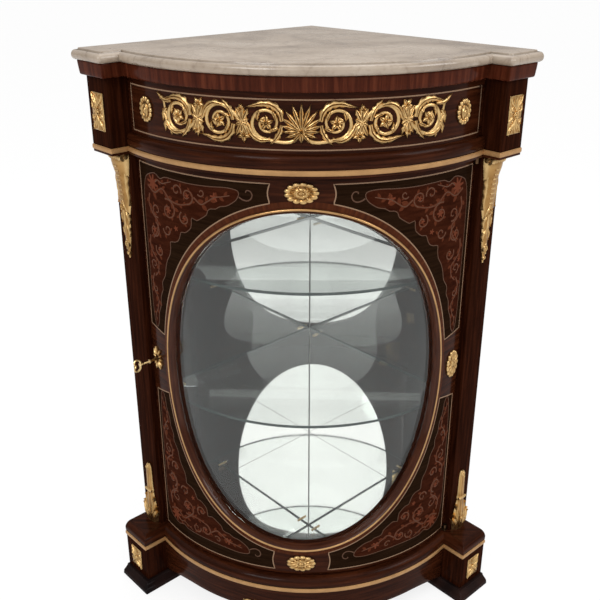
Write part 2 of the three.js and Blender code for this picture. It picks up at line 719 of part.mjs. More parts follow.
// Bolt: a flat bar with a notch in its lower edge that the bit enters
const notchWidth = 17;
const notchHeight = 4.2;
const notchStart = keyDepth - notchWidth * 0.1;
place(sideFrames[-1], 'lock_bolt', cut(
  sideBox(-1, boltReaches, boltDepths, boltHeights),
  sideBox(-1, widen(boltReaches, overrunLength), [notchStart, notchStart + notchWidth],
    [boltHeights[0] - overrunLength, boltHeights[0] + notchHeight])), steel);

// Key: shank with turned collars, a flat bit and a heart-shaped looped bow
const keyLength = 44;
const bitEnd = chamberReaches[1] - seatGap;
const bitStart = bitEnd - bitWidth;
const keyFree = keyReachOuter + keyLength;
const collarRadius = 4;
const collarWidth = 2.4;
const bowHalfHeight = 12.5;
const bowHalfWidth = 9;
const bowWire = 2;
const bowWireSteps = 24;
const bowWireSides = 5;
// The bow's outline, as shares of its half width along the shank and of its half height
const keyBowShares = [
  [0, 0.12], [0.25, 0.7], [0.9, 1], [1.55, 0.75], [1.5, 0.3], [1.2, 0],
  [1.5, -0.3], [1.55, -0.75], [0.9, -1], [0.25, -0.7], [0, -0.12],
];
function keyBow() {
  const curve = new THREE.CatmullRomCurve3(keyBowShares.map(([out, up]) => (
    new Vector3(0, -out * bowHalfWidth, up * bowHalfHeight))), true);
  const across = new Vector3(1, 0, 0);
  const rings = curve.getSpacedPoints(bowWireSteps).slice(1).map((point, i) => {
    const tangent = curve.getTangentAt((i + 1) / bowWireSteps);
    const square = tangent.clone().cross(across).normalize();
    const ring = [];
    for (let k = 0; k < bowWireSides; k += 1) {
      const turn = (2 * Math.PI * k) / bowWireSides;
      ring.push(point.clone().addScaledVector(square, bowWire * Math.cos(turn))
        .addScaledVector(across, bowWire * Math.sin(turn)));
    }
    return ring;
  });
  return loft(rings);
}
const collarShares = [0.45, 0.96];
const shank = [
  sideRod(-1, shankRadius, [bitStart - bitWidth * 0.2, keyFree], [keyDepth, keyDepth], lockHeight),
  ...collarShares.map((share) => {
    const at = keyReachOuter + keyLength * share;
    return sideRod(-1, collarRadius, [at, at + collarWidth], [keyDepth, keyDepth], lockHeight);
  }),
];
const bit = sideBox(-1, [bitStart, bitEnd], [keyDepth - bitThickness / 2, keyDepth + bitThickness / 2],
  [lockHeight - bitLength, lockHeight]);
const keyHandle = keyBow().translate(keyDepth, -keyFree + bowWire, lockHeight);
place(sideFrames[-1], 'key', join(...shank, bit, keyHandle), brass);

// Pivot hinges at the right edge: a plate on the ceiling or base board carries the pin, and a
// plate on the end of the door has the knuckle that turns on it
const knuckleRadius = 4;
const hingePinRadius = 1.8;
const hingeBore = hingePinRadius + seatGap;
const knuckleLength = 12;
const plateLength = 36;
const plateWidth = 14;
const hingeDepth = stileDepth + knuckleRadius + 2 * seatGap;
const hingeReach = bowReach(doorBowRadius + knuckleRadius + 2 * seatGap, hingeDepth);
const plateDepths = [doorEnd, doorEnd + plateLength];
const plateReaches = [hingeReach - knuckleRadius - plateWidth - seatGap, hingeReach];
const armDepths = [hingeDepth - knuckleRadius, hingeDepth + knuckleRadius];
function upright(radius, low, high) {
  const bar = new THREE.CylinderGeometry(radius, radius, high - low, roundSegments).rotateX(quarterTurn);
  return bar.translate(-hingeDepth, -hingeReach, (low + high) / 2);
}
for (const end of [-1, 1]) {
  const name = end > 0 ? 'top' : 'bottom';
  // Heights run from the board's face towards the door
  const board = end > 0 ? ceilingBottom : baseTop;
  const level = (away) => board - end * away;
  const span = (near, far) => [level(near), level(far)].sort((a, b) => a - b);
  const fixedSpan = span(seatGap, seatGap + leafThickness);
  const leafSpan = span(2 * seatGap + leafThickness, 2 * (seatGap + leafThickness));
  const knuckleSpan = span(2 * seatGap + leafThickness, 2 * seatGap + leafThickness + knuckleLength);
  const pinSpan = span(seatGap, 2 * seatGap + leafThickness + knuckleLength);
  const plateEdges = [plateReaches[0], plateReaches[1] - knuckleRadius];
  const plate = (heights) => sideBox(1, plateEdges, plateDepths, heights);
  const arm = (heights) => sideBox(1, [plateReaches[0], hingeReach], armDepths, heights);
  place(sideFrames[1], `hinge_plate_${name}`, join(plate(fixedSpan), arm(fixedSpan),
    upright(knuckleRadius, ...fixedSpan), upright(hingePinRadius, ...pinSpan)), brass);
  const leaf = join(plate(leafSpan), arm(leafSpan), upright(knuckleRadius, ...knuckleSpan));
  place(sideFrames[1], `hinge_leaf_${name}`,
    cut(leaf, upright(hingeBore, knuckleSpan[0] - overrunLength, knuckleSpan[1] + overrunLength)), brass);
}

// Gilt mounts. Each is drawn flat: X across, Z up, and -Y out from its seat. Its back is drawn a
// little behind the seat, and is trimmed to the bow that it sits on.
function outBy(rise) {
  return rise > 0 ? -rise : mountRoot;
}
function bent(geometry, radius) {
  const bentGeometry = geometry.clone();
  const points = bentGeometry.attributes.position;
  for (let i = 0; i < points.count; i += 1) {
    const angle = points.getX(i) / radius;
    const out = radius - points.getY(i);
    points.setXYZ(i, out * Math.sin(angle), -out * Math.cos(angle), points.getZ(i));
  }
  return bentGeometry;
}

// An oval boss: rings of shares of its size and of its rise, with a scalloped rim
function boss(halfWidth, halfHeight, rise, petals, levelShares) {
  const count = petals * 2;
  const ring = ([size, out, scallop]) => {
    const points = [];
    for (let i = 0; i < count; i += 1) {
      const turn = (2 * Math.PI * i) / count;
      const reach = size * (1 - (i % 2) * scallop);
      points.push(new Vector3(halfWidth * reach * Math.cos(turn), outBy(rise * out),
        halfHeight * reach * Math.sin(turn)));
    }
    return points;
  };
  const rings = levelShares.map(ring);
  return loft(rings, rings[0].map((p) => new Vector2(p.x, p.z)));
}
const rosetteShares = [[1, 0, 0.08], [1, 0.3, 0.08], [0.84, 0.62, 0.05], [0.5, 0.4, 0.02],
  [0.42, 0.75, 0], [0.2, 1, 0]];

// A leaf: a half-round blade that swells and tapers, from the origin along +Z
const leafShares = [[0, 0.3, 0.5], [0.4, 1, 0.95], [0.75, 0.72, 0.85], [1, 0.1, 0.35]];
const bladeSectionShares = [[-1, 0], [0, 1], [1, 0]];
function leafBlade(length, halfWidth, rise) {
  const rings = leafShares.map(([along, wide, out]) => bladeSectionShares.map(([across, up]) => (
    new Vector3(across * wide * halfWidth, outBy(up * out * rise), along * length))));
  return loft(rings, bladeSectionShares.map(([across, up]) => new Vector2(across, up)));
}

// A stem: a half-round bar along a flat curve of X and Z, tapering from one width to the other
function stem(points, startWidth, endWidth, rise) {
  const rings = points.map((point, i) => {
    const before = points[Math.max(0, i - 1)];
    const after = points[Math.min(points.length - 1, i + 1)];
    const along = after.clone().sub(before).normalize();
    const share = i / (points.length - 1);
    const half = THREE.MathUtils.lerp(startWidth, endWidth, share) / 2;
    const out = rise * THREE.MathUtils.lerp(1, endWidth / startWidth, share);
    return bladeSectionShares.map(([across, up]) => (
      new Vector3(point.x - along.y * across * half, outBy(up * out), point.y + along.x * across * half)));
  });
  return loft(rings, bladeSectionShares.map(([across, up]) => new Vector2(across, up)));
}
function turnedLeaf(length, halfWidth, rise, x, z, angle) {
  return leafBlade(length, halfWidth, rise).rotateY(angle).translate(x, 0, z);
}
function mirrored(geometry) {
  const flipped = geometry.clone().scale(-1, 1, 1);
  return turnedInsideOut(flipped.index ? flipped : mergeVertices(flipped));
}

// Frieze scroll: spirals alternate above and below a running stem on each side of a palmette
const scrollRise = 5;
const scrollPitch = 80;
const scrollFirst = 56;
const scrollRadius = 25;
const scrollStem = 6;
const scrollTurnShare = 1.35;
const scrollSteps = 11;
function spiralPoint(centreX, hand, share) {
  const turn = share * scrollTurnShare * 2 * Math.PI - quarterTurn;
  const radius = scrollRadius * (1 - 0.72 * share);
  return new Vector2(centreX + radius * Math.cos(turn), hand * radius * Math.sin(turn));
}
const linkSteps = 5;
function linkPoints(x, nextX, hand) {
  const points = [];
  for (let i = 0; i <= linkSteps; i += 1) {
    const share = i / linkSteps;
    points.push(new Vector2(THREE.MathUtils.lerp(x, nextX, share),
      hand * scrollRadius * Math.cos(Math.PI * share)));
  }
  return points;
}
const scrollEye = 8;
const eyeShares = [[1, 0, 0.1], [0.7, 1.1, 0.1]];
const scrollLeaf = 22;
const scrollLeafShare = 0.3;
function halfScroll() {
  const pieces = [];
  for (let i = 0; i < 3; i += 1) {
    const hand = i % 2 ? -1 : 1;
    const x = scrollFirst + i * scrollPitch;
    const run = linkPoints(i ? x - scrollPitch : 0, x, hand);
    for (let k = 1; k <= scrollSteps; k += 1) run.push(spiralPoint(x, hand, k / scrollSteps));
    pieces.push(stem(run, scrollStem, scrollStem * 0.7, scrollRise));
    pieces.push(boss(scrollEye, scrollEye, scrollRise, 4, eyeShares).translate(x, 0, 0));
    const root = spiralPoint(x, hand, scrollLeafShare);
    const angle = Math.atan2(root.x - x, root.y) + 0.5 * hand;
    pieces.push(turnedLeaf(scrollLeaf, scrollLeaf * 0.24, scrollRise, root.x, root.y, angle));
  }
  const tipX = scrollFirst + 2 * scrollPitch;
  pieces.push(stem(linkPoints(tipX, tipX + scrollPitch * 0.62, -1), scrollStem, scrollStem / 2, scrollRise));
  return pieces;
}
const scrollSide = halfScroll();
const palmetteLength = 33;
const palmetteRoot = 4;
const palmetteTurns = [-1.05, -0.5, 0, 0.5, 1.05];
const palmette = palmetteTurns.map((angle) => (
  turnedLeaf(palmetteLength * (1 - 0.08 * Math.abs(angle)), palmetteLength * 0.18, scrollRise * 1.1,
    0, -palmetteRoot, angle)));
const scrollPieces = [...scrollSide, ...scrollSide.map(mirrored), ...palmette,
  turnedLeaf(palmetteLength * 0.85, palmetteLength * 0.27, scrollRise, 0, palmetteRoot, Math.PI)];
const scrollHeight = friezeMouldingTop + (caseTop - corniceHeight - friezeMouldingTop) / 2;
const friezeFace = { bow: friezeBowRadius, end: friezeEnd, heights: [friezeBottom, caseTop] };
const doorFace = { bow: doorBowRadius, end: doorEnd, heights: doorHeights };
const apronFace = { bow: plinthBowRadius, end: apronEnd, heights: [0, plinthHeight] };
// A flat mount bent to a face at an arc length from the middle, and trimmed to seat on that face
function onBow(geometry, face, arc, height) {
  const inPlace = bent(geometry, face.bow + seatGap).rotateZ(arc / face.bow)
    .translate(0, -bowAxisDepth, height);
  return cut(inPlace, behindBow(face.bow + seatGap, face.end, face.heights));
}
// A long openwork mount: each piece is bent by itself with its back on the seat, then all are joined
function openwork(pieces, face, height) {
  const onSeat = pieces.map((piece) => bent(piece, face.bow + seatGap + mountRoot));
  return join(...onSeat).translate(0, -bowAxisDepth, height);
}
place(caseFrame, 'frieze_scroll_mount', openwork(scrollPieces, friezeFace, scrollHeight), gilt);

const friezeRosetteArc = 299;
const friezeRosetteHalf = 17;
const friezeRosetteTall = 22.5;
const rosetteRise = 6;
const friezeRosette = boss(friezeRosetteHalf, friezeRosetteTall, rosetteRise, 9, rosetteShares);
for (const side of [-1, 1]) {
  place(caseFrame, `frieze_rosette_${sideName(side)}`,
    onBow(friezeRosette, friezeFace, side * friezeRosetteArc, scrollHeight), gilt);
}

// Door rosettes: lying ovals above and below the opening and standing ones beside it
const doorRosetteLong = 30;
const doorRosetteShort = 19.5;
const beadHalfHeight = ovalHalfHeight + beadStart + beadWidth;
const topRosetteHeight = (ovalHeight + beadHalfHeight + doorTop) / 2;
const bottomRosetteHeight = (ovalHeight - beadHalfHeight + doorBottom) / 2;
const lyingRosette = boss(doorRosetteLong, doorRosetteShort, rosetteRise, 12, rosetteShares);
const standingRosette = boss(doorRosetteShort, doorRosetteLong, rosetteRise, 12, rosetteShares);
place(caseFrame, 'door_rosette_top', onBow(lyingRosette, doorFace, 0, topRosetteHeight), gilt);
place(caseFrame, 'door_rosette_bottom', onBow(lyingRosette, doorFace, 0, bottomRosetteHeight), gilt);
const keyPlan = planPoint(-1, bowReach(doorBowRadius, doorEnd), keyDepth);
const keyAngle = Math.atan2(keyPlan.x, -keyPlan.y - bowAxisDepth);
const keyArc = keyAngle * doorBowRadius;
place(caseFrame, 'door_rosette_right', onBow(standingRosette, doorFace, -keyArc, lockHeight), gilt);
place(caseFrame, 'key_escutcheon', cut(onBow(standingRosette, doorFace, keyArc, lockHeight),
  toCase(keyhole([lockReach, keyReachOuter + 4 * overrunLength]), -1)), gilt);

// Mounts on the faces of the blocks and stiles, drawn flat about the middle of the face
function faceMount(name, side, geometry, reach, depth, height) {
  const mesh = place(sideFrames[side], name, geometry, gilt);
  mesh.position.set(-side * depth, -reach - seatGap - mountRoot, height);
}
const plaqueLeafTurns = [-0.75, 0, 0.75];
function plaque(halfWidth, halfHeight, rise) {
  const frame = (size, out) => [[-1, -1], [1, -1], [1, 1], [-1, 1]].map(([x, z]) => (
    new Vector3(x * (halfWidth - size), outBy(out), z * (halfHeight - size))));
  const edge = halfWidth * 0.16;
  const rings = [frame(0, 0), frame(0, rise * 0.7), frame(edge * 0.5, rise), frame(edge, rise * 0.45)];
  const tray = loft(rings, rings[0].map((p) => new Vector2(p.x, p.z)));
  const turns = plaqueLeafTurns.map((angle) => angle * halfWidth / halfHeight);
  const leaves = turns.flatMap((angle) => [0, Math.PI].map((flip) => (
    turnedLeaf(halfHeight * 0.86, halfWidth * 0.26, rise * 1.4, 0, 0, angle + flip))));
  return join(tray, ...leaves, boss(halfWidth * 0.34, halfWidth * 0.34, rise * 1.6, 5, eyeShares));
}
const plaqueRise = 3.5;
const blockPlaqueHalf = 21;
const blockPlaqueTall = 36;
const footPlaqueHalf = 20;
const footPlaqueTall = 27;
const blockPlaque = plaque(blockPlaqueHalf, blockPlaqueTall, plaqueRise);
const footPlaque = plaque(footPlaqueHalf, footPlaqueTall, plaqueRise);
const footPlaqueHeight = (footBaseHeight + plinthHeight - lineHeight) / 2;
for (const side of [-1, 1]) {
  faceMount(`block_plaque_${sideName(side)}`, side, blockPlaque, friezeReach,
    (wallGap + friezeDepth) / 2, friezeBottom + (friezeHeight - corniceHeight) / 2);
  faceMount(`foot_plaque_${sideName(side)}`, side, footPlaque, plinthReach,
    (wallGap + plinthDepth) / 2, footPlaqueHeight);
}

// Upper stile mount: a console that tapers to a bud, with a volute at its head and ribs below.
// Shares of its length, half width and projection from the head down.
const upperMountLength = 210;
const upperMountHalf = 25;
const upperMountOut = 20;
const consoleShares = [
  [0, 0.8, 0.55], [0.05, 1, 0.8], [0.16, 0.92, 0.7], [0.26, 0.72, 0.48], [0.36, 0.66, 0.4],
  [0.46, 0.78, 0.46], [0.62, 0.52, 0.34], [0.78, 0.34, 0.3], [0.9, 0.3, 0.36], [1, 0.08, 0.16],
];
const consoleSectionShares = [[-1, 0], [-0.82, 0.72], [0, 1], [0.82, 0.72], [1, 0]];
function taperedBody(shares, length, halfWidth, out, sectionShares) {
  const rings = shares.map(([down, wide, deep]) => sectionShares.map(([across, up]) => (
    new Vector3(across * wide * halfWidth, outBy(up * deep * out), -down * length))));
  return loft(rings, sectionShares.map(([across, up]) => new Vector2(across, up)));
}
function volute(halfWidth, radius, z) {
  const roll = new THREE.CylinderGeometry(radius, radius, 2 * halfWidth, roundSegments).rotateZ(quarterTurn);
  return roll.translate(0, -radius, z);
}
const ribCount = 5;
const ribPitch = 11;
const ribStart = 34;
const ribRadius = 2.2;
const ribSides = 6;
const ribLength = upperMountHalf * 1.05;
const ribs = [];
for (let i = 0; i < ribCount; i += 1) {
  const rib = new THREE.CylinderGeometry(ribRadius, ribRadius, ribLength, ribSides).rotateZ(quarterTurn);
  ribs.push(rib.translate(0, -upperMountOut * 0.42, -ribStart - i * ribPitch));
}
const consoleLeaf = 54;
const consoleLeafHalf = 6.5;
const consoleLeafTurns = [-0.45, 0, 0.45];
const upperMount = join(
  taperedBody(consoleShares, upperMountLength, upperMountHalf, upperMountOut, consoleSectionShares),
  volute(upperMountHalf, upperMountOut / 2, -upperMountOut * 0.6), ...ribs,
  ...consoleLeafTurns.map((angle) => (
    turnedLeaf(consoleLeaf, consoleLeafHalf, upperMountOut * 0.5, 0, -upperMountLength * 0.62, angle))),
);

// Lower stile mount: a reeded stem that stands on the base board and spreads into leaves
const lowerMountLength = 146;
const lowerMountHalf = 24;
const lowerMountOut = 13;
const stemShares = [
  [0, 0.06, 0.2], [0.1, 0.22, 0.4], [0.34, 0.28, 0.5], [0.56, 0.4, 0.6], [0.8, 0.72, 0.8],
  [0.93, 0.95, 0.95], [1, 1, 0.9],
];
const rootLeaf = 60;
const rootLeafHalf = 7;
const rootLeafTurns = [-0.42, 0, 0.42];
const lowerMount = join(
  taperedBody(stemShares, lowerMountLength, lowerMountHalf, lowerMountOut, consoleSectionShares),
  ...rootLeafTurns.map((angle) => (
    turnedLeaf(rootLeaf, rootLeafHalf, lowerMountOut * 1.1, 0, -lowerMountLength * 0.96, angle))),
);
const mountMiddle = (wallGap + stileDepth) / 2;
for (const side of [-1, 1]) {
  faceMount(`upper_mount_${sideName(side)}`, side, upperMount, stileReach, mountMiddle,
    ceilingBottom - seatGap);
  faceMount(`lower_mount_${sideName(side)}`, side, lowerMount, stileReach, mountMiddle,
    baseTop + seatGap + lowerMountLength);
}

// Apron mount: a shell with a scroll and a long leaf on each side
const apronMountRise = 6;
const apronMountHalf = 122;
const apronLeaf = 27;
const apronStem = 8;
const apronCurl = 15;
const apronSteps = 10;
const apronMountHeight = 54;
function apronArm() {
  const points = [];
  const curl = [];
  for (let i = 0; i <= apronSteps; i += 1) {
    const share = i / apronSteps;
    points.push(new Vector2(share * apronMountHalf,
      apronCurl * (0.27 * Math.sin(2 * Math.PI * share) + 0.67 * share)));
    const turn = Math.PI * (1 + 2.5 * share);
    const radius = apronCurl * (1 - 0.7 * share);
    curl.push(new Vector2(apronMountHalf / 2 + radius * Math.cos(turn), radius * Math.sin(turn)));
  }
  return [stem(points, apronStem, apronStem * 0.3, apronMountRise),
    stem(curl, apronStem * 0.6, apronStem * 0.4, apronMountRise)];
}
const apronArms = apronArm();
const apronShell = palmetteTurns.map((angle) => (
  turnedLeaf(apronLeaf, apronLeaf * 0.2, apronMountRise, 0, 0, angle)));
const apronPieces = [...apronArms, ...apronArms.map(mirrored), ...apronShell,
  turnedLeaf(apronLeaf * 0.75, apronLeaf * 0.3, apronMountRise, 0, palmetteRoot, Math.PI)];
place(caseFrame, 'apron_mount', openwork(apronPieces, apronFace, apronMountHeight), gilt);

export default cabinet;
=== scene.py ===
from math import acos, asin, atan2, copysign, cos, exp, pi, radians, sin, sqrt

import bmesh
import bpy
import numpy as np
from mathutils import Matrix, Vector, geometry


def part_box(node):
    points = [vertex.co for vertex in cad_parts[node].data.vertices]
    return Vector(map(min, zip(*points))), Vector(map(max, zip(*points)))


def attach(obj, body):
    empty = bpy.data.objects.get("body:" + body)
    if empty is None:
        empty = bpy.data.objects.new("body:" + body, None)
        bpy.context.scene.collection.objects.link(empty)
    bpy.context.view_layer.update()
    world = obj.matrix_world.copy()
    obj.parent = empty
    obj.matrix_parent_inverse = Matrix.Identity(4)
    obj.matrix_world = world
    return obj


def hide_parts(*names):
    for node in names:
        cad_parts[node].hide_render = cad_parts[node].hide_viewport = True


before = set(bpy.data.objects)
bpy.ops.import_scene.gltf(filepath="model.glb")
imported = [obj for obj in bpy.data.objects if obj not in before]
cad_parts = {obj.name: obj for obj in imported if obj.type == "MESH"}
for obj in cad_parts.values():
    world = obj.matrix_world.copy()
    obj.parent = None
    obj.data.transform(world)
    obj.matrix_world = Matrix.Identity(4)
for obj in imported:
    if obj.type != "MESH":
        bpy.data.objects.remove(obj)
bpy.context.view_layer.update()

# Foot bases
# Two spreading feet of beech, shaped with an ogee, mitred at the corner and lacquered black, then
# glued and screwed up under the foot blocks. All sizes in this file are in millimetres.
diagonal = sqrt(0.5)
wall_gap = 4
bow_axis_depth = 180


def corners(node):
    low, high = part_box(node)
    return [1000 * v for v in low], [1000 * v for v in high]


def heights(node):
    low, high = corners(node)
    return low[2], high[2]


wall_corner_y = corners("marble_top")[1][1]
bow_axis_y = wall_corner_y - bow_axis_depth


def side_point(side, reach, depth):
    return side * (reach - depth) * diagonal, wall_corner_y - (reach + depth) * diagonal


def post(node):
    low, high = corners(node)
    reach = max(-low[0], high[0]) / diagonal + wall_gap
    depth = (wall_corner_y - low[1]) / diagonal - reach
    return reach, depth, low[2], high[2]


def running_length(points):
    steps = np.linalg.norm(np.diff(points, axis=0), axis=1)
    return np.concatenate([[0], np.cumsum(steps)])


def into_scene(name, data):
    made = bpy.data.objects.new(name, data)
    bpy.context.scene.collection.objects.link(made)
    return made


def mesh_from(build, name, sharp_angle):
    bmesh.ops.remove_doubles(build, verts=build.verts, dist=2e-7)
    bmesh.ops.recalc_face_normals(build, faces=build.faces)
    mesh = bpy.data.meshes.new(name)
    build.to_mesh(mesh)
    build.free()
    mesh.shade_smooth()
    mesh.set_sharp_from_angle(angle=radians(sharp_angle))
    return into_scene(name, mesh)


# A skin over a grid of points. Its grain map runs along the rows (u) and across them (v), in metres.
def shell(name, rows, wrap_rows=False, wrap_columns=False, cap_rows=False, cap_columns=False,
          sharp_angle=32):
    grid = np.array(rows, dtype=float) / 1000
    height, width = grid.shape[:2]
    along = running_length(np.vstack([grid[0], grid[0][:1]]))
    up = running_length(np.vstack([grid[:, 0], grid[:1, 0]]))
    build = bmesh.new()
    grain = build.loops.layers.uv.new("grain")
    verts = [[build.verts.new(point) for point in row] for row in grid]

    def cover(face_verts, uvs):
        face = build.faces.new(face_verts)
        for loop, uv in zip(face.loops, uvs):
            loop[grain].uv = uv

    for i in range(height if wrap_rows else height - 1):
        k = (i + 1) % height
        for j in range(width if wrap_columns else width - 1):
            m = (j + 1) % width
            cover([verts[i][j], verts[i][m], verts[k][m], verts[k][j]],
                  [(along[j], up[i]), (along[j + 1], up[i]), (along[j + 1], up[i + 1]),
                   (along[j], up[i + 1])])
    if cap_rows:
        for row in (verts[0], verts[-1]):
            cover(row, [(v.co.x, v.co.y) for v in row])
    if cap_columns:
        for column in ([row[0] for row in verts], [row[-1] for row in verts]):
            cover(column, [(v.co.x + v.co.y, v.co.z) for v in column])
    return mesh_from(build, name, sharp_angle)


# A closed solid from a pile of outlines
def solid(name, rows, sharp_angle=32):
    return shell(name, rows, False, True, True, sharp_angle=sharp_angle)


def fit(piece, material, body, slot, *nodes):
    piece.data.materials.clear()
    piece.data.materials.append(material)
    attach(piece, body)
    if nodes:
        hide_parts(*nodes)


def finish_material(name, **values):
    material = bpy.data.materials.new(name)
    material.use_nodes = True
    shader = material.node_tree.nodes["Principled BSDF"]
    for socket, value in values.items():
        shader.inputs[socket.replace("_", " ")].default_value = value
    return material, shader


# A new node in a material, a world or a node group
def add(owner, kind, inputs=None, **settings):
    tree = getattr(owner, "node_tree", owner)
    node = tree.nodes.new(kind)
    for setting, value in settings.items():
        setattr(node, setting, value)
    for socket, value in (inputs or {}).items():
        if isinstance(value, bpy.types.NodeSocket):
            tree.links.new(value, node.inputs[socket])
        else:
            node.inputs[socket].default_value = value
    return node


def maths(owner, operation, *values):
    return add(owner, "ShaderNodeMath", dict(enumerate(values)), operation=operation).outputs[0]


def multiplied(material, first, second, share=1.0):
    return add(material, "ShaderNodeMixRGB", {"Fac": share, "Color1": first, "Color2": second},
               blend_type="MULTIPLY").outputs["Color"]


# A stop holds a colour, or one number for a grey
def ramp(material, factor, stops):
    node = add(material, "ShaderNodeValToRGB", {"Fac": factor})
    elements = node.color_ramp.elements
    while len(elements) < len(stops):
        elements.new(0.5)
    for element, (position, tone) in zip(elements, stops):
        element.position = position
        element.color = (*tone, 1) if isinstance(tone, tuple) else (tone, tone, tone, 1)
    return node.outputs["Color"]


def link(material, output, shader, socket):
    material.node_tree.links.new(output, shader.inputs[socket])


def noise(material, place, scale, detail, distortion, stretch):
    mapping = add(material, "ShaderNodeMapping", {"Vector": place, "Scale": stretch})
    return add(material, "ShaderNodeTexNoise", {
        "Vector": mapping.outputs["Vector"], "Scale": scale, "Detail": detail, "Distortion": distortion,
    }).outputs["Fac"]


def object_noise(material, scale, detail=4, distortion=0.0, stretch=(1, 1, 1)):
    place = add(material, "ShaderNodeTexCoord").outputs["Object"]
    return noise(material, place, scale, detail, distortion, stretch)


def bump(material, height, strength, distance, shader):
    node = add(material, "ShaderNodeBump", {"Height": height, "Strength": strength, "Distance": distance})
    link(material, node.outputs["Normal"], shader, "Normal")


# One noise mottles the colour of a piece, another its roughness, and a third may grain its face
def mottled(name, tone_noise, tones, gloss_noise, gloss, relief=None, **values):
    material, shader = finish_material(name, **values)
    for socket, form, stops in (("Base Color", tone_noise, tones), ("Roughness", gloss_noise, gloss)):
        link(material, ramp(material, object_noise(material, *form), stops), shader, socket)
    if relief:
        form, strength, distance = relief
        bump(material, object_noise(material, *form), strength, distance, shader)
    return material


black_lacquer = mottled(
    "black_lacquer", (14, 6, 0, (1, 1, 0.3)), [(0.3, (0.006, 0.004, 0.004)), (0.7, (0.022, 0.010, 0.008))],
    (40, 5), [(0.3, 0.16), (0.8, 0.34)], ((260, 3), 0.08, 0.0006),
    Coat_Weight=0.05, Coat_Roughness=0.08, Specular_IOR_Level=0.02)


# The rounded corner of a post in plan, from its side to its front
def eased_corner(side, reach, depth, ease, steps):
    turns = [k * pi / (2 * steps) for k in range(steps + 1)]
    return [side_point(side, reach - ease + ease * cos(turn), depth - ease + ease * sin(turn))
            for turn in turns]


foot_base_out, stile_width = 17, 51
both_sides = (("left", -1), ("right", 1))
stile_inner = post("stile_left")[0] - stile_width
ogee = [(0, 0.93), (0.06, 1), (0.2, 1), (0.3, 0.96), (0.42, 0.95), (0.5, 0.88), (0.58, 0.76), (0.66, 0.62),
        (0.74, 0.48), (0.82, 0.38), (0.88, 0.35), (0.9, 0.3), (1, 0.3)]
for side_name, side in both_sides:
    node = "foot_base_" + side_name
    reach, depth, low, high = post(node)
    rows = []
    for rise, out in ogee:
        drawn_in = foot_base_out * (out - 1)
        plan = [side_point(side, stile_inner, wall_gap), side_point(side, reach + drawn_in, wall_gap)]
        plan += eased_corner(side, reach + drawn_in, depth + drawn_in, 2.5, 6)
        plan.append(side_point(side, stile_inner, depth + drawn_in))
        rows.append([(x, y, low + rise * (high - low)) for x, y in plan])
    piece = solid("foot_base_moulding_" + side_name, rows)
    fit(piece, black_lacquer, "case", "black_base", node)

# Foot blocks, frieze blocks and stiles
# Solid posts faced with straight-grained rosewood veneer, the edges eased and the whole polished.
# The stiles stand between base board and ceiling board, and the blocks carry on their line.
def wood(name, stops, across=False, stretch=(9, 150), pores=0.35, gloss=(0.14, 0.3), coat=0.06, sheen=0.02):
    material, shader = finish_material(name, Coat_Weight=coat, Coat_Roughness=0.07, Specular_IOR_Level=sheen)
    grain = add(material, "ShaderNodeUVMap", uv_map="grain").outputs["UV"]
    turned = add(material, "ShaderNodeMapping", {
        "Vector": grain, "Rotation": (0, 0, pi / 2 if across else 0)}).outputs["Vector"]
    colour = ramp(material, noise(material, turned, 1.0, 5, 0.6, (*stretch, 1)), stops)
    pore_noise = noise(material, turned, 1.0, 2, 0.0, (stretch[0] * 9, stretch[1] * 12, 1))
    pore = ramp(material, pore_noise, [(0.36, 1 - pores), (0.5, 1)])
    link(material, multiplied(material, colour, pore), shader, "Base Color")
    link(material, ramp(material, object_noise(material, 30, 5), [(0.3, gloss[0]), (0.75, gloss[1])]),
         shader, "Roughness")
    bump(material, pore, 0.1, 0.0002, shader)
    return material


rosewood = wood("rosewood_along", [
    (0.28, (0.013, 0.0032, 0.0012)), (0.5, (0.027, 0.0066, 0.0024)), (0.72, (0.050, 0.0130, 0.0048))])
rosewood_upright = wood("rosewood_upright", [
    (0.28, (0.009, 0.0022, 0.0009)), (0.5, (0.019, 0.0045, 0.0017)), (0.72, (0.036, 0.0090, 0.0036))],
    across=True, coat=0.02, sheen=0)


# A merged copy of a solid with its edges eased, and a grain map from height and turn about the corner
def eased_copy(node, name, width, segments=3):
    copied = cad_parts[node].data.copy()
    build = bmesh.new()
    build.from_mesh(copied)
    bmesh.ops.remove_doubles(build, verts=build.verts, dist=1e-6)
    bmesh.ops.dissolve_limit(build, angle_limit=0.02, verts=build.verts, edges=build.edges)
    sharp = [edge for edge in build.edges if len(edge.link_faces) == 2 and edge.calc_face_angle(0) > 0.5]
    bmesh.ops.bevel(build, geom=sharp, offset=width / 1000, segments=segments, profile=0.5, affect="EDGES",
                    clamp_overlap=True)
    for layer in list(build.loops.layers.uv):
        build.loops.layers.uv.remove(layer)
    grain = build.loops.layers.uv.new("grain")
    for face in build.faces:
        across = Vector((0, 0, 1)).cross(face.normal)
        for loop in face.loops:
            x, y, z = loop.vert.co
            if across.length > 0.3:
                loop[grain].uv = (loop.vert.co.dot(across.normalized()), z)
            else:
                loop[grain].uv = (x + y, x - y)
    return mesh_from(build, name, 40)


for node in ("foot_block_left", "foot_block_right", "frieze_block_left", "frieze_block_right",
             "stile_left", "stile_right"):
    fit(eased_copy(node, node + "_veneered", 1.2), rosewood_upright, "case", "rosewood", node)

# Apron rail
# The bowed rail between the foot blocks, laminated from thin layers and veneered, with a lower edge
# that is sawn to an arch on each side of a pendant in the middle.
def bow_point(radius, angle):
    return radius * sin(angle), bow_axis_y - radius * cos(angle)


def bow_end(radius, depth):
    return acos((depth - bow_axis_depth * diagonal) / radius) - pi / 4


def bow_radius(node):
    return bow_axis_y - corners(node)[0][1]


seat_gap = 0.3
stile_reach, stile_depth = post("stile_right")[:2]
plinth_reach, plinth_depth, _, plinth_top = post("foot_block_right")
plinth_radius = bow_radius("apron_rail")
apron_thickness = 20
apron_steps = 160


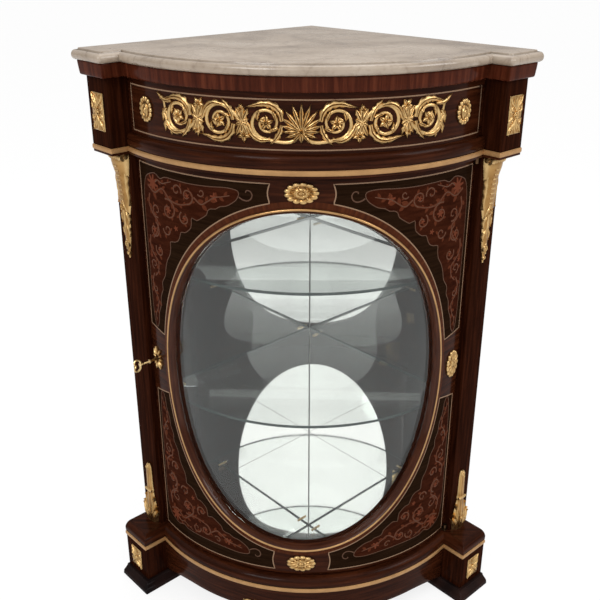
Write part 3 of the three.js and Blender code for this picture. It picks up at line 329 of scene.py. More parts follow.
def apron_foot(arc):
    pendant = max(0, 1 - abs(arc) / 150)
    foot = min(1, max(0, (abs(arc) - 240) / (plinth_radius - 240)))
    return 47 - 21 * (1 - cos(pi * pendant)) / 2 - 23 * min(1, 2 * foot * foot)


columns = []
for i in range(apron_steps + 1):
    share = 1 - 2 * i / apron_steps
    outer_angle = bow_end(plinth_radius, plinth_depth + seat_gap) * share
    inner_angle = bow_end(plinth_radius - apron_thickness, plinth_depth + seat_gap) * share
    foot = apron_foot(plinth_radius * outer_angle)
    column = []
    for inward, z in ((1.2, foot), (0.3, foot + 0.3), (0, foot + 1.2), (0, foot + 12),
                      (0, (foot + plinth_top) / 2),
                      (0, plinth_top), (apron_thickness, plinth_top), (apron_thickness, foot)):
        angle = outer_angle if inward < apron_thickness else inner_angle
        column.append((*bow_point(plinth_radius - inward, angle), z))
    columns.append(column)
piece = shell("apron_rail_veneered", list(zip(*columns)), wrap_rows=True, cap_columns=True)
fit(piece, rosewood, "case", "rosewood", "apron_rail")

# Gilt line round the top of the plinth
# A brass strip with a rounded face between two fine steps, polished, bent to the plinth and pinned.
# It is drawn as its run in plan, and the strip's section is swept along that run.
def pale_gilt(name, tones, roughness, speckle, shade_and_wear_tones=None, metal=1.0):
    material, shader = finish_material(name, Metallic=metal)
    colour = ramp(material, object_noise(material, 45, 6), tones)
    # Where these tones are given, the colour follows the surface's pointiness: darker in hollows and creases
    # as painted shade, lighter on sharp edges as rubbed gilding
    if shade_and_wear_tones:
        hollow_shade_and_edge_wear = add(material, "ShaderNodeNewGeometry").outputs["Pointiness"]
        colour = multiplied(material, ramp(material, hollow_shade_and_edge_wear, shade_and_wear_tones), colour)
    link(material, colour, shader, "Base Color")
    link(material, ramp(material, object_noise(material, 160, 4), [
        (0.3, roughness[0]), (0.75, roughness[1])]), shader, "Roughness")
    bump(material, object_noise(material, 900, 3), speckle, 0.0003, shader)
    return material


strip_gilt = pale_gilt("gilt_strip", [(0.3, (0.34, 0.184, 0.072)), (0.62, (0.42, 0.232, 0.092))],
                       (0.42, 0.55), 0.03, metal=0.55)
bead_gilt = pale_gilt("gilt_bead", [(0.3, (0.40, 0.225, 0.094)), (0.62, (0.50, 0.290, 0.126))], (0.26, 0.40),
                      0.03)


def front_path(storey, offset, ease=1.5, steps=160):
    reach, depth = storey["reach"] + offset, storey["depth"] + offset
    radius = storey["radius"] + offset
    right = [side_point(1, reach, storey["back"]), *eased_corner(1, reach, depth, ease, 4)]
    end = bow_end(radius, depth)
    bow = [bow_point(radius, end * (1 - 2 * i / steps)) for i in range(steps + 1)]
    return right + bow + [(-x, y) for x, y in reversed(right)]


def mouldings(name, storey, profile, path=front_path):
    rows = [[(x, y, z) for x, y in path(storey, offset)] for offset, z in profile]
    return shell(name, rows, wrap_rows=True, cap_columns=True)


base_storey = {"reach": plinth_reach, "depth": plinth_depth, "radius": plinth_radius, "back": wall_gap}
line_height, line_out = 9.5, 2.4
line_foot = plinth_top - line_height
piece = mouldings("plinth_line", base_storey, [
    (seat_gap, line_foot), (1.2, line_foot), (1.3, line_foot + 1.2), (1.7, line_foot + 1.4),
    (2.2, line_foot + 2.6), (line_out, line_foot + line_height / 2), (2.2, plinth_top - 2.6),
    (1.7, plinth_top - 1.4), (1.3, plinth_top - 1.2), (1.2, plinth_top), (seat_gap, plinth_top)])
fit(piece, strip_gilt, "case", "gilt", "plinth_gilt_line")

# Base board
# A plank in the plan of the plinth, veneered on top, with its front edge rounded over like a torus.
# The case stands on it, and the plinth is screwed up under it.
panel_thickness, mirror_thickness = 12, 4
panel_front = wall_gap + panel_thickness + seat_gap
stile_back = stile_reach - stile_width


def board(name, storey, profile, path=front_path):
    rows = []
    for offset, z in profile:
        notch = [side_point(1, stile_back, panel_front), side_point(1, stile_back, wall_gap)]
        outline = [side_point(1, panel_front, panel_front), *notch, *path(storey, offset),
                   *[(-x, y) for x, y in reversed(notch)]]
        rows.append([(x, y, z) for x, y in outline])
    return solid(name, rows)


base_low, base_high = heights("base_board")
round_profile = [(0, base_low), (0.8, base_low + 1)]
for k in range(9):
    turn = -0.3 + k * 1.75 / 8
    z = base_low + 8 + (base_high - base_low - 8) * max(0, sin(turn)) + min(0, turn) * 12
    round_profile.append((1.4 - 14.8 * (1 - cos(turn)) if turn > 0 else 1.2, z))
round_profile.append((-14, base_high))
piece = board("base_board_veneered", base_storey, round_profile)
fit(piece, rosewood, "case", "rosewood", "base_board")

# Back panels, mirrors and shelf pins
# Plain stained boards meet at the wall corner. A silvered mirror is clipped to each, another lies on
# the floor, and turned brass pins that pass through the mirrors carry the shelves.
carcass_wood = mottled(
    "carcass_wood", (3, 6, 0.4, (7, 7, 0.5)), [(0.3, (0.030, 0.014, 0.009)), (0.7, (0.075, 0.036, 0.022))],
    (60, 4, 0, (4, 4, 0.3)), [(0.3, 0.45), (0.7, 0.65)], ((90, 4, 0, (5, 5, 0.25)), 0.2, 0.0008))
silvering = mottled(
    "silvered_mirror", (2.5, 5), [(0.3, (0.90, 0.91, 0.90)), (0.7, (0.95, 0.955, 0.945))],
    (7, 6), [(0.4, 0.015), (0.8, 0.05)], Metallic=1.0)
plain_brass = mottled(
    "turned_brass", (120, 5), [(0.3, (0.50, 0.33, 0.14)), (0.7, (0.80, 0.60, 0.30))],
    (300, 4, 0, (1, 1, 6)), [(0.3, 0.22), (0.7, 0.42)], Metallic=1.0)


def refinish(node, material):
    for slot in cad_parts[node].material_slots:
        slot.material = material


for side_name in ("left", "right"):
    refinish("back_panel_" + side_name, carcass_wood)
    refinish("back_mirror_" + side_name, silvering)
refinish("floor_mirror", silvering)
for shelf in ("lower", "upper"):
    for place in ("left", "right", "corner"):
        refinish(f"shelf_pin_{shelf}_{place}", plain_brass)

# The two mirrors are bedded in a thin grey fillet where they meet, which stops short of each shelf
fillet_rows = [heights("floor_mirror")[1] + 1]
for shelf in ("lower", "upper"):
    fillet_rows += [heights("glass_shelf_" + shelf)[0] - 1, heights("glass_shelf_" + shelf)[1] + 1]
fillet_rows.append(heights("ceiling_board")[0] - 1)
mirror_face, fillet_width = panel_front + mirror_thickness + seat_gap, 1.9
fillet_plan = [side_point(1, mirror_face, mirror_face),
               side_point(1, mirror_face + fillet_width, mirror_face),
               side_point(-1, mirror_face + fillet_width, mirror_face)]
fillet_putty = mottled(
    "mirror_fillet", (50, 4), [(0.3, (0.19, 0.187, 0.174)), (0.7, (0.30, 0.295, 0.275))],
    (130, 3), [(0.3, 0.35), (0.7, 0.5)])
for k, part in enumerate(("floor", "middle", "top")):
    rows = [[(x, y, z) for x, y in fillet_plan] for z in fillet_rows[2 * k:2 * k + 2]]
    fit(solid("mirror_fillet_" + part, rows), fillet_putty, "case", "carcass")

# Glass shelves
# Two sheets of plate glass, straight along the mirrors and bowed in front, with a ground and polished
# front edge that shows green. Each lies loose on three pins.
def thin_glass(name, tint):
    material, shader = finish_material(name, Metallic=1.0, Base_Color=(0.92, 0.96, 0.95, 1))
    link(material, ramp(material, object_noise(material, 6, 3), [(0.3, 0.006), (0.7, 0.02)]), shader,
         "Roughness")
    tone = ramp(material, object_noise(material, 3, 4), [
        (0.3, tint), (0.7, tuple(0.3 + 0.7 * v for v in tint))])
    clear = add(material, "ShaderNodeBsdfTransparent", {"Color": tone})
    facing = add(material, "ShaderNodeLayerWeight", {"Blend": 0.5}).outputs["Facing"]
    gloss = maths(material, "MULTIPLY_ADD", maths(material, "POWER", facing, 5.0), 0.96, 0.04)
    mix = add(material, "ShaderNodeMixShader", {
        "Fac": gloss, 1: clear.outputs["BSDF"], 2: shader.outputs["BSDF"]})
    link(material, mix.outputs["Shader"], material.node_tree.nodes["Material Output"], "Surface")
    return material


clear_glass = thin_glass("shelf_glass", (0.970, 0.982, 0.975))
glass_edge = mottled(
    "ground_glass_edge", (40, 4), [(0.3, (0.010, 0.019, 0.017)), (0.7, (0.026, 0.040, 0.036))],
    (150, 3), [(0.3, 0.10), (0.7, 0.22)], Coat_Weight=0.1, Coat_Roughness=0.05, Specular_IOR_Level=0.2)
shelf_front_radius, shelf_front_depth = 371, 480
mirror_clear = panel_front + mirror_thickness + 2 * seat_gap


def shelf_outline(inset):
    radius = shelf_front_radius - inset
    rise = (mirror_clear + inset) * sqrt(2)
    centre = shelf_front_depth - shelf_front_radius
    shift = centre - rise
    half_width = (shift + sqrt(2 * radius ** 2 - shift ** 2)) / 2
    end = atan2(half_width, half_width + rise - centre)
    points = [(0, wall_corner_y - rise)]
    for i in range(97):
        angle = end * (1 - 2 * i / 96)
        points.append((radius * sin(angle), wall_corner_y - centre - radius * cos(angle)))
    return points


for shelf in ("lower", "upper"):
    node = "glass_shelf_" + shelf
    low, high = heights(node)
    rows = [[(x, y, z) for x, y in shelf_outline(inset)] for inset, z in (
        (0.8, low), (0.2, low + 0.3), (0, low + 1), (0, high - 1), (0.2, high - 0.3), (0.8, high))]
    piece = solid("shelf_glass_" + shelf, rows)
    fit(piece, clear_glass, "case", "glass", node)
    piece.data.materials.append(glass_edge)
    for face in piece.data.polygons:
        face.material_index = 0 if abs(face.normal.z) > 0.9 else 1

# Ceiling board and the gilt band on its edge
# The board closes the case under the frieze. A brushed brass band runs round its edge, bent over the
# bow and mitred at the blocks, and is fixed with pins.
frieze_reach, frieze_depth, frieze_low, frieze_high = post("frieze_block_right")
ceiling_low, ceiling_high = heights("ceiling_board")
band_out = 2.2
ceiling_storey = {"reach": frieze_reach - seat_gap, "depth": frieze_depth - seat_gap,
                  "radius": bow_radius("gilt_band") - band_out, "back": wall_gap}
piece = board("ceiling_board_veneered", ceiling_storey, [
    (-1, ceiling_low), (-0.3, ceiling_low + 0.3), (0, ceiling_low + 1), (0, ceiling_high)])
fit(piece, rosewood, "case", "rosewood", "ceiling_board")
band_low = heights("gilt_band")[0]
piece = mouldings("gilt_band_strip", ceiling_storey, [
    (seat_gap, band_low), (1.0, band_low), (1.1, band_low + 1), (1.9, band_low + 1.3),
    (band_out, band_low + 2), (band_out, ceiling_high - 2), (1.9, ceiling_high - 1.3),
    (1.1, ceiling_high - 1), (1.0, ceiling_high), (seat_gap, ceiling_high)])
fit(piece, strip_gilt, "case", "gilt", "gilt_band")

# Frieze panel and frieze moulding
# The bowed panel is laminated and veneered, and a dark rosewood moulding is planted along its foot.
frieze_radius = bow_radius("frieze_panel")
frieze_end = frieze_depth + seat_gap


def bow_path(storey, offset, steps=192):
    radius = storey["radius"] + offset
    end = bow_end(radius, storey["depth"])
    return [bow_point(radius, end * (1 - 2 * i / steps)) for i in range(steps + 1)]


frieze_bow = {"radius": frieze_radius, "depth": frieze_end}
piece = mouldings("frieze_panel_veneered", frieze_bow, [
    (0, frieze_low), (0, frieze_low + 70), (0, frieze_high), (-22, frieze_high), (-22, frieze_low)],
    bow_path)
fit(piece, rosewood, "case", "rosewood", "frieze_panel")
crossband = wood("crossband", [
    (0.28, (0.032, 0.0068, 0.0030)), (0.5, (0.054, 0.0116, 0.0050)), (0.72, (0.092, 0.0225, 0.0098))],
    across=True, stretch=(7, 120), pores=0.25)
foot_high = heights("frieze_moulding")[1]
foot_out = (bow_radius("frieze_moulding") - frieze_radius) / 1.25
torus = []
for k in range(15):
    turn = radians(-52 + k * 142 / 14)
    torus.append((foot_out * 0.55 + foot_out * 0.7 * cos(turn), frieze_low + 10.5 + 13 * sin(turn)))
torus = [(o, z) for o, z in torus if z > frieze_low + 0.1]
piece = mouldings("frieze_foot_moulding", frieze_bow, [
    (seat_gap, frieze_low), (foot_out, frieze_low), *torus, (foot_out * 0.3, foot_high - 0.6),
    (seat_gap, foot_high)], bow_path)
fit(piece, rosewood, "case", "crossband", "frieze_moulding")

# Cornice
# A crossbanded moulding, mitred round the blocks, that carries the marble. Its face leans out a
# little and ends in a small round above and below.
cornice_low, cornice_high = heights("cornice")
cornice_storey = {"reach": frieze_reach, "depth": frieze_depth, "radius": frieze_radius, "back": wall_gap}
piece = mouldings("cornice_crossbanded", cornice_storey, [
    (seat_gap, cornice_low), (8, cornice_low), (9.6, cornice_low + 0.4), (10.9, cornice_low + 1.5),
    (11.9, cornice_low + 3), (13.0, cornice_low + 9), (14.0, cornice_low + 16), (14.8, cornice_high - 4),
    (15, cornice_high - 2), (14.7, cornice_high - 0.8), (14, cornice_high - 0.2), (seat_gap, cornice_high)])
fit(piece, crossband, "case", "crossband", "cornice")

# Marble top
# A slab of warm veined marble in the plan of the frieze, with a fine groove sunk near its edge over
# a rounded and polished nose. It lies loose on the cornice.
marble, shader = finish_material("veined_marble", Coat_Weight=0.25, Coat_Roughness=0.1)
cloud = object_noise(marble, 6.5, 8, 0.8)
body_tone = ramp(marble, cloud, [
    (0.28, (0.190, 0.140, 0.100)), (0.42, (0.270, 0.210, 0.155)), (0.56, (0.335, 0.268, 0.205)),
    (0.75, (0.375, 0.312, 0.248))])
place = add(marble, "ShaderNodeTexCoord").outputs["Object"]
warp = add(marble, "ShaderNodeTexNoise", {"Vector": place, "Scale": 9.0, "Detail": 5.0})
shifted = add(marble, "ShaderNodeMixRGB", {
    "Fac": 0.16, "Color1": place, "Color2": warp.outputs["Color"]}).outputs["Color"]
cells = add(marble, "ShaderNodeTexVoronoi", {"Vector": shifted, "Scale": 12.0}, feature="DISTANCE_TO_EDGE")
vein = ramp(marble, cells.outputs["Distance"], [
    (0.0, (0.50, 0.44, 0.40)), (0.035, (0.86, 0.84, 0.82)), (0.11, 1)])
speck = ramp(marble, object_noise(marble, 120, 5), [(0.34, (0.66, 0.60, 0.56)), (0.5, 1)])
# Painted shade: the marble darkens where its surface folds inward, as in the groove, standing in for the
# shadow there
painted_hollow_shade = ramp(marble, add(marble, "ShaderNodeNewGeometry").outputs["Pointiness"], [
    (0.40, (0.16, 0.12, 0.09)), (0.49, 1)])
veined = multiplied(marble, body_tone, vein, 0.4)
specked = multiplied(marble, veined, speck, 0.4)
link(marble, multiplied(marble, specked, painted_hollow_shade), shader, "Base Color")
link(marble, ramp(marble, object_noise(marble, 25, 4), [(0.3, 0.22), (0.7, 0.38)]), shader, "Roughness")
bump(marble, cells.outputs["Distance"], 0.05, 0.0004, shader)

marble_low, marble_high = heights("marble_top")
marble_radius = bow_radius("marble_top")
marble_reach = -corners("marble_top")[0][0] / diagonal
marble_depth = marble_reach - frieze_reach + frieze_depth
marble_storey = {"reach": marble_reach, "depth": marble_depth, "radius": marble_radius, "back": 0}


def marble_path(storey, offset):
    return [(0, wall_corner_y), *front_path(storey, offset, ease=6)]


nose = [(-6, marble_low)]
for k in range(9):
    turn = radians(-80 + 20 * k)
    nose.append((-7.6 + 7.6 * cos(turn), marble_low + 8.2 + 8.2 * sin(turn)))
nose += [(-7.8, marble_low + 16.4), (-8.4, marble_low + 14.6), (-9.3, marble_low + 13),
         (-12.6, marble_low + 13), (-13.4, marble_low + 14.8), (-13.7, marble_high - 1.6),
         (-14.4, marble_high - 0.5), (-15.8, marble_high)]
groove_bands = range(10, 14)
rows = [[(x, y, z) for x, y in marble_path(marble_storey, offset)] for offset, z in nose]
piece = solid("marble_slab", rows)
fit(piece, marble, "case", "marble", "marble_top")
# Painted shade: the faces inside the groove get a dark marble that stands in for the shadow in the groove
groove_painted_shade, shader = finish_material("marble_groove_painted_shade", Roughness=0.7)
link(groove_painted_shade, ramp(groove_painted_shade, object_noise(groove_painted_shade, 30, 5), [
    (0.35, (0.055, 0.036, 0.024)), (0.7, (0.12, 0.088, 0.062))]), shader, "Base Color")
piece.data.materials.append(groove_painted_shade)
for face in piece.data.polygons:
    face.material_index = 1 if face.index // len(rows[0]) in groove_bands else 0

# Door frame
# A bowed door laminated from thin layers round an oval opening, with a rebate behind the opening
# for the glass, a recess for the lock at its left edge and a keyhole through it.
door_radius = bow_radius("door_frame")
door_thickness = 22
door_inner = door_radius - door_thickness
door_end = stile_depth + 1.5
door_low, door_high = heights("door_frame")
glass_low, glass_high = heights("door_glass")
oval_z = (glass_low + glass_high) / 2
oval_tall = (glass_high - glass_low) / 2 - 7.7
door_half_arc = door_radius * bow_end(door_radius, door_end)
oval_wide = door_half_arc - 83.2
lip = 10
opening, pane_seat = 10.4, 8


def bow_reach(radius, depth):
    middle = bow_axis_depth * diagonal
    return middle + sqrt(radius ** 2 - (depth - middle) ** 2)


def oval_flat(offset, turn):
    slope = Vector((cos(turn) / oval_wide, sin(turn) / oval_tall)).normalized()
    arc = oval_wide * cos(turn) + slope.x * offset
    return arc, oval_z + oval_tall * sin(turn) + slope.y * offset


def on_bow(arc, z, radius, home=None):
    return (*bow_point(radius, arc / (home or door_radius)), z)


corner_turns = []
for across, up in ((1, door_high - oval_z), (-1, door_high - oval_z), (-1, door_low - oval_z),
                   (1, door_low - oval_z)):
    corner_turns.append(atan2(up / oval_tall, across * door_half_arc / oval_wide) % (2 * pi))
turns = []
for k, start in enumerate(corner_turns):
    stop = corner_turns[(k + 1) % 4]
    span = (stop - start) % (2 * pi)
    turns += [start + span * i / 72 for i in range(72)]


def door_point(turn, share, offset, inset, radius):
    arc, z = oval_flat(offset, turn)
    flat_x, flat_z = oval_wide * cos(turn), oval_tall * sin(turn)
    up = (door_high if flat_z > 0 else oval_z * 2 - door_low) - oval_z
    grow = min(door_half_arc / max(abs(flat_x), 1e-6), up / max(abs(flat_z), 1e-6))
    edge_arc = copysign(abs(flat_x * grow) - inset, flat_x) if abs(flat_x * grow) > inset else 0
    edge_z = oval_z + copysign(max(abs(flat_z * grow) - inset, 0), flat_z)
    stretch = bow_end(radius, door_end) / bow_end(door_radius, door_end)
    angle = (arc * (1 - share) + edge_arc * share * stretch) / door_radius
    return (*bow_point(radius, angle), z * (1 - share) + edge_z * share)


sections = [(k / 12, opening, 0, door_radius) for k in range(12)]
sections += [(1, 0, 1.0, door_radius), (1, 0, 0.25, door_radius - 0.25), (1, 0, 0, door_radius - 1.0),
             (1, 0, 0, door_inner + 1.0), (1, 0, 1.0, door_inner)]
sections += [(k / 10, pane_seat, 0, door_inner) for k in range(9, -1, -1)]
sections += [(0, pane_seat, 0, door_radius - lip), (0, opening, 0, door_radius - lip)]
rows = [[door_point(turn, *section) for turn in turns] for section in sections]
door = shell("door_frame_veneered", rows, wrap_rows=True, wrap_columns=True)
grain = door.data.uv_layers["grain"].data
for loop in door.data.loops:
    x, y, z = door.data.vertices[loop.vertex_index].co
    grain[loop.index].uv = (atan2(x, bow_axis_y / 1000 - y) * door_radius / 1000, z)

lock_length, lock_thickness, recess_half, key_inset = 46, 11, 31.3, 27
lock_reach = bow_reach(door_inner, door_end)
lock_outer = lock_reach + lock_thickness
key_depth = door_end + key_inset
bit_length = 9.4


def side_block(name, reaches, depths, heights):
    outline = [side_point(-1, reach, depth) for reach, depth in (
        (reaches[0], depths[0]), (reaches[1], depths[0]), (reaches[1], depths[1]), (reaches[0], depths[1]))]
    return solid(name, [[(x, y, z) for x, y in outline] for z in heights])


def side_rod(name, radius, reaches, depth, z, sides=32):
    rows = []
    for reach in reaches:
        rows.append([(*side_point(-1, reach, depth + radius * cos(2 * pi * k / sides)),
                      z + radius * sin(2 * pi * k / sides)) for k in range(sides)])
    return solid(name, rows)


def carve(piece, cutters):
    for cutter in cutters:
        modifier = piece.modifiers.new("cut", "BOOLEAN")
        modifier.object = cutter
        modifier.solver = "EXACT"
    evaluated = piece.evaluated_get(bpy.context.evaluated_depsgraph_get())
    carved = bpy.data.meshes.new_from_object(evaluated)
    piece.modifiers.clear()
    piece.data = carved
    carved.set_sharp_from_angle(angle=radians(32))
    for cutter in cutters:
        bpy.data.objects.remove(cutter)


def keyhole_cutters(start, stop):
    slot_half = 1.9
    return [side_rod("keyhole_round", 3.1, (start, stop), key_depth, oval_z),
            side_block("keyhole_slot", (start, stop), (key_depth - slot_half, key_depth + slot_half),
                       (oval_z - bit_length - 0.7, oval_z))]


keyhole_reaches = (lock_reach, bow_reach(door_radius, door_end) + 52)
carve(door, [side_block("lock_recess", (lock_reach - 12, lock_outer + seat_gap),
                        (door_end - 12, door_end + lock_length + seat_gap),
                        (oval_z - recess_half, oval_z + recess_half)), *keyhole_cutters(*keyhole_reaches)])
fit(door, rosewood, "door", "rosewood", "door_frame")

# Marquetry of the door
# The corners are ebony sheets with a field of dyed veneers let in, cut as leaf scrolls on a paler
# outline. Boxwood stringing borders them, and a crossbanded ring runs round the opening.
inlay_lift = 0.12


def fill_flat(outline, spacing=7.0):
    outline = [Vector(point) for point in outline]
    low_x, high_x = min(p.x for p in outline), max(p.x for p in outline)
    low_z, high_z = min(p.y for p in outline), max(p.y for p in outline)

    def inside(x, z):
        odd = False
        for a, b in zip(outline, outline[1:] + outline[:1]):
            if (a.y > z) != (b.y > z) and x < (b.x - a.x) * (z - a.y) / (b.y - a.y) + a.x:
                odd = not odd
        return odd

    extra = []
    for i in range(int((high_x - low_x) / spacing) + 1):
        for k in range(int((high_z - low_z) / (3 * spacing)) + 1):
            x, z = low_x + (i + 0.5) * spacing, low_z + (k + 0.5) * 3 * spacing
            if inside(x, z) and min((Vector((x, z)) - p).length for p in outline) > 2:
                extra.append(Vector((x, z)))
    loop = list(range(len(outline)))
    points, _, faces, *_ = geometry.delaunay_2d_cdt(outline + extra, [], [loop], 1, 1e-4)
    return [(p.x, p.y) for p in points], faces


# A sheet of veneer from a flat outline of arc length and height, bent to a bow
def veneer_sheet(name, outlines, radius, lift, home=None, thickness=0.5):
    build = bmesh.new()
    grain = build.loops.layers.uv.new("grain")
    for outline in outlines:
        points, faces = fill_flat(outline)
        layers = []
        for depth in (lift, lift - thickness):
            layers.append([build.verts.new([v / 1000 for v in on_bow(x, z, radius + depth, home or radius)])
                           for x, z in points])
        for layer in layers:
            for face in faces:
                made = build.faces.new([layer[i] for i in face])
                for loop, i in zip(made.loops, face):
                    loop[grain].uv = (points[i][0] / 1000, points[i][1] / 1000)
        rim = {}
        for face in faces:
            for a, b in zip(face, list(face[1:]) + [face[0]]):
                rim[(a, b)] = True
        for a, b in rim:
            if (b, a) not in rim:
                build.faces.new([layers[0][a], layers[0][b], layers[1][b], layers[1][a]])
    return mesh_from(build, name, 60)


def smooth_line(points, closed=False, step=2.5):
    points = [Vector(p) for p in points]
    count = len(points)
    result = []
    for i in range(count if closed else count - 1):
        b, c = points[i], points[(i + 1) % count]
        a = points[i - 1] if closed or i > 0 else b * 2 - c
        d = points[(i + 2) % count] if closed or i + 2 < count else c * 2 - b
        pieces = max(2, int((c - b).length / step))
        for k in range(pieces):
            t = k / pieces
            result.append(0.5 * ((2 * b) + (c - a) * t + (2 * a - 5 * b + 4 * c - d) * t * t
                                 + (3 * b - a - 3 * c + d) * t * t * t))
    if not closed:
        result.append(points[-1])
    return [(p.x, p.y) for p in result]


# Geometry Nodes: strokes of a drawing become rounded rods, and leaves are set along them in pairs
def drawing_tree(name):
    tree = bpy.data.node_groups.new(name, "GeometryNodeTree")
    face = tree.interface
    face.new_socket("Geometry", in_out="INPUT", socket_type="NodeSocketGeometry")
    for label, kind, value in (("Leaf Spacing", "NodeSocketFloat", 7.0),
                               ("Leaf Size", "NodeSocketFloat", 6.0),
                               ("Spread", "NodeSocketFloat", 0.8), ("Seed", "NodeSocketInt", 4)):
        face.new_socket(label, in_out="INPUT", socket_type=kind).default_value = value
    face.new_socket("Leaf", in_out="INPUT", socket_type="NodeSocketObject")
    face.new_socket("Material", in_out="INPUT", socket_type="NodeSocketMaterial")
    face.new_socket("Geometry", in_out="OUTPUT", socket_type="NodeSocketGeometry")
    source = tree.nodes.new("NodeGroupInput")
    sink = tree.nodes.new("NodeGroupOutput")

    curve = add(tree, "GeometryNodeMeshToCurve", {"Mesh": source.outputs["Geometry"]})
    width = add(tree, "GeometryNodeInputNamedAttribute", {"Name": "half"},
                data_type="FLOAT").outputs["Attribute"]
    section = add(tree, "GeometryNodeCurvePrimitiveCircle", {"Resolution": 8, "Radius": 1.0})
    rods = add(tree, "GeometryNodeCurveToMesh", {
        "Curve": curve.outputs["Curve"], "Profile Curve": section.outputs["Curve"], "Scale": width,
        "Fill Caps": True})
    spaced = add(tree, "GeometryNodeResampleCurve", {
        "Curve": curve.outputs["Curve"], "Length": source.outputs["Leaf Spacing"]}, mode="LENGTH")
    index = add(tree, "GeometryNodeInputIndex").outputs["Index"]
    parity = maths(tree, "MODULO", index, 2.0)
    hand = maths(tree, "MULTIPLY_ADD", parity, 2.0, -1.0)
    jitter = add(tree, "FunctionNodeRandomValue", {2: 0.8, 3: 1.2, "Seed": source.outputs["Seed"]},
                 data_type="FLOAT")
    spread = maths(tree, "MULTIPLY", hand, source.outputs["Spread"])
    turned = maths(tree, "MULTIPLY", spread, jitter.outputs[1])
    along = add(tree, "FunctionNodeAlignRotationToVector", {
        "Vector": add(tree, "GeometryNodeInputTangent").outputs["Tangent"]}, axis="X", pivot_axis="Z")
    swing = add(tree, "FunctionNodeAxisAngleToRotation", {"Axis": (0, 0, 1), "Angle": turned})
    facing = add(tree, "FunctionNodeRotateRotation", {
        "Rotation": along.outputs["Rotation"], "Rotate By": swing.outputs["Rotation"]},
        rotation_space="LOCAL")
    grown = add(tree, "GeometryNodeInputNamedAttribute", {"Name": "leafy"},
                data_type="FLOAT").outputs["Attribute"]
    size = maths(tree, "MULTIPLY", grown, source.outputs["Leaf Size"])
    varied = maths(tree, "MULTIPLY", size, jitter.outputs[1])
    has_leaf = add(tree, "FunctionNodeCompare", {0: grown, 1: 0.05}, data_type="FLOAT",
                   operation="GREATER_THAN")
    leaf = add(tree, "GeometryNodeObjectInfo", {"Object": source.outputs["Leaf"]})
    sprigs = add(tree, "GeometryNodeInstanceOnPoints", {
        "Points": spaced.outputs["Curve"], "Selection": has_leaf.outputs["Result"],
        "Instance": leaf.outputs["Geometry"], "Rotation": facing.outputs["Rotation"], "Scale": varied})
    joined = add(tree, "GeometryNodeJoinGeometry")
    tree.links.new(sprigs.outputs["Instances"], joined.inputs["Geometry"])
    tree.links.new(rods.outputs["Mesh"], joined.inputs["Geometry"])
    real = add(tree, "GeometryNodeRealizeInstances", {"Geometry": joined.outputs["Geometry"]})
    finished = add(tree, "GeometryNodeSetMaterial", {
        "Geometry": real.outputs["Geometry"], "Material": source.outputs["Material"]})
    tree.links.new(finished.outputs["Geometry"], sink.inputs["Geometry"])
    return tree


strokes_and_leaves = drawing_tree("strokes and leaves")


def leaf_blank(name, lobes=0, steps=10):
    crown = ((-1, 0.0), (-0.55, 0.75), (0, 0.55), (0.55, 0.75), (1, 0.0))
    rows = []
    for i in range(steps + 1):
        t = i / steps
        wave = 1 + 0.2 * cos(2 * pi * lobes * t)
        half = max(0.24 * sin(pi * min(1, t * 0.94 + 0.06)) ** 0.8 * wave, 0.012)
        rise = 0.2 * (0.5 + 0.5 * sin(pi * t))
        rows.append([*[(t, half * s, rise * h) for s, h in crown], (t, 0, -0.06)])
    scaled = [[(1000 * x, 1000 * y, 1000 * z) for x, y, z in row] for row in rows]
    return solid(name, scaled, sharp_angle=80)


def ray(x, z, lean, reaches):
    return [(x + reach * cos(lean), z + reach * sin(lean)) for reach in reaches]


# Strokes are lists of flat points with the half width at each end, and the leaf size from 0 to 1
def drawn(name, strokes, leaf, spacing, size, spread, material, seed=4):
    verts, edges, half, leafy = [], [], [], []
    for points, start, end, grown in strokes:
        first = len(verts)
        for i, (x, z) in enumerate(points):
            share = i / (len(points) - 1)
            verts.append((x, z, 0))
            half.append(start + (end - start) * share)
            leafy.append(grown * (1 - 0.45 * share) if 0 < i < len(points) - 1 else 0)
            if i:
                edges.append((first + i - 1, first + i))
    mesh = bpy.data.meshes.new(name)
    mesh.from_pydata(verts, edges, [])
    mesh.attributes.new("half", "FLOAT", "POINT").data.foreach_set("value", half)
    mesh.attributes.new("leafy", "FLOAT", "POINT").data.foreach_set("value", leafy)
    drawing = into_scene(name, mesh)
    modifier = drawing.modifiers.new("drawing", "NODES")
    modifier.node_group = strokes_and_leaves
    values = {"Leaf Spacing": spacing, "Leaf Size": size, "Spread": spread, "Seed": seed, "Leaf": leaf,
              "Material": material}
    for item in strokes_and_leaves.interface.items_tree:
        if item.in_out == "INPUT" and item.name in values:
            modifier[item.identifier] = values[item.name]
    evaluated = drawing.evaluated_get(bpy.context.evaluated_depsgraph_get())
    made = bpy.data.meshes.new_from_object(evaluated)
    bpy.data.objects.remove(drawing)
    return made


def flat_copy(mesh):
    points = np.empty(len(mesh.vertices) * 3)
    mesh.vertices.foreach_get("co", points)
    return points.reshape(-1, 3)


def seated(mesh, columns, name):
    mesh.vertices.foreach_set("co", np.stack(columns, axis=1).ravel())
    mesh.update()
    build = bmesh.new()
    build.from_mesh(mesh)
    return mesh_from(build, name, 50)


# Bends a flat drawing (arc length, height, rise, in millimetres) onto a bow and seats it
def bend_on(mesh, radius, lift, flatness, name, home=None):
    flat = flat_copy(mesh)
    angle = flat[:, 0] / (home or radius)
    out = (radius + lift + flat[:, 2] * flatness) / 1000
    x, y = out * np.sin(angle), bow_axis_y / 1000 - out * np.cos(angle)
    return seated(mesh, [x, y, flat[:, 1] / 1000], name)


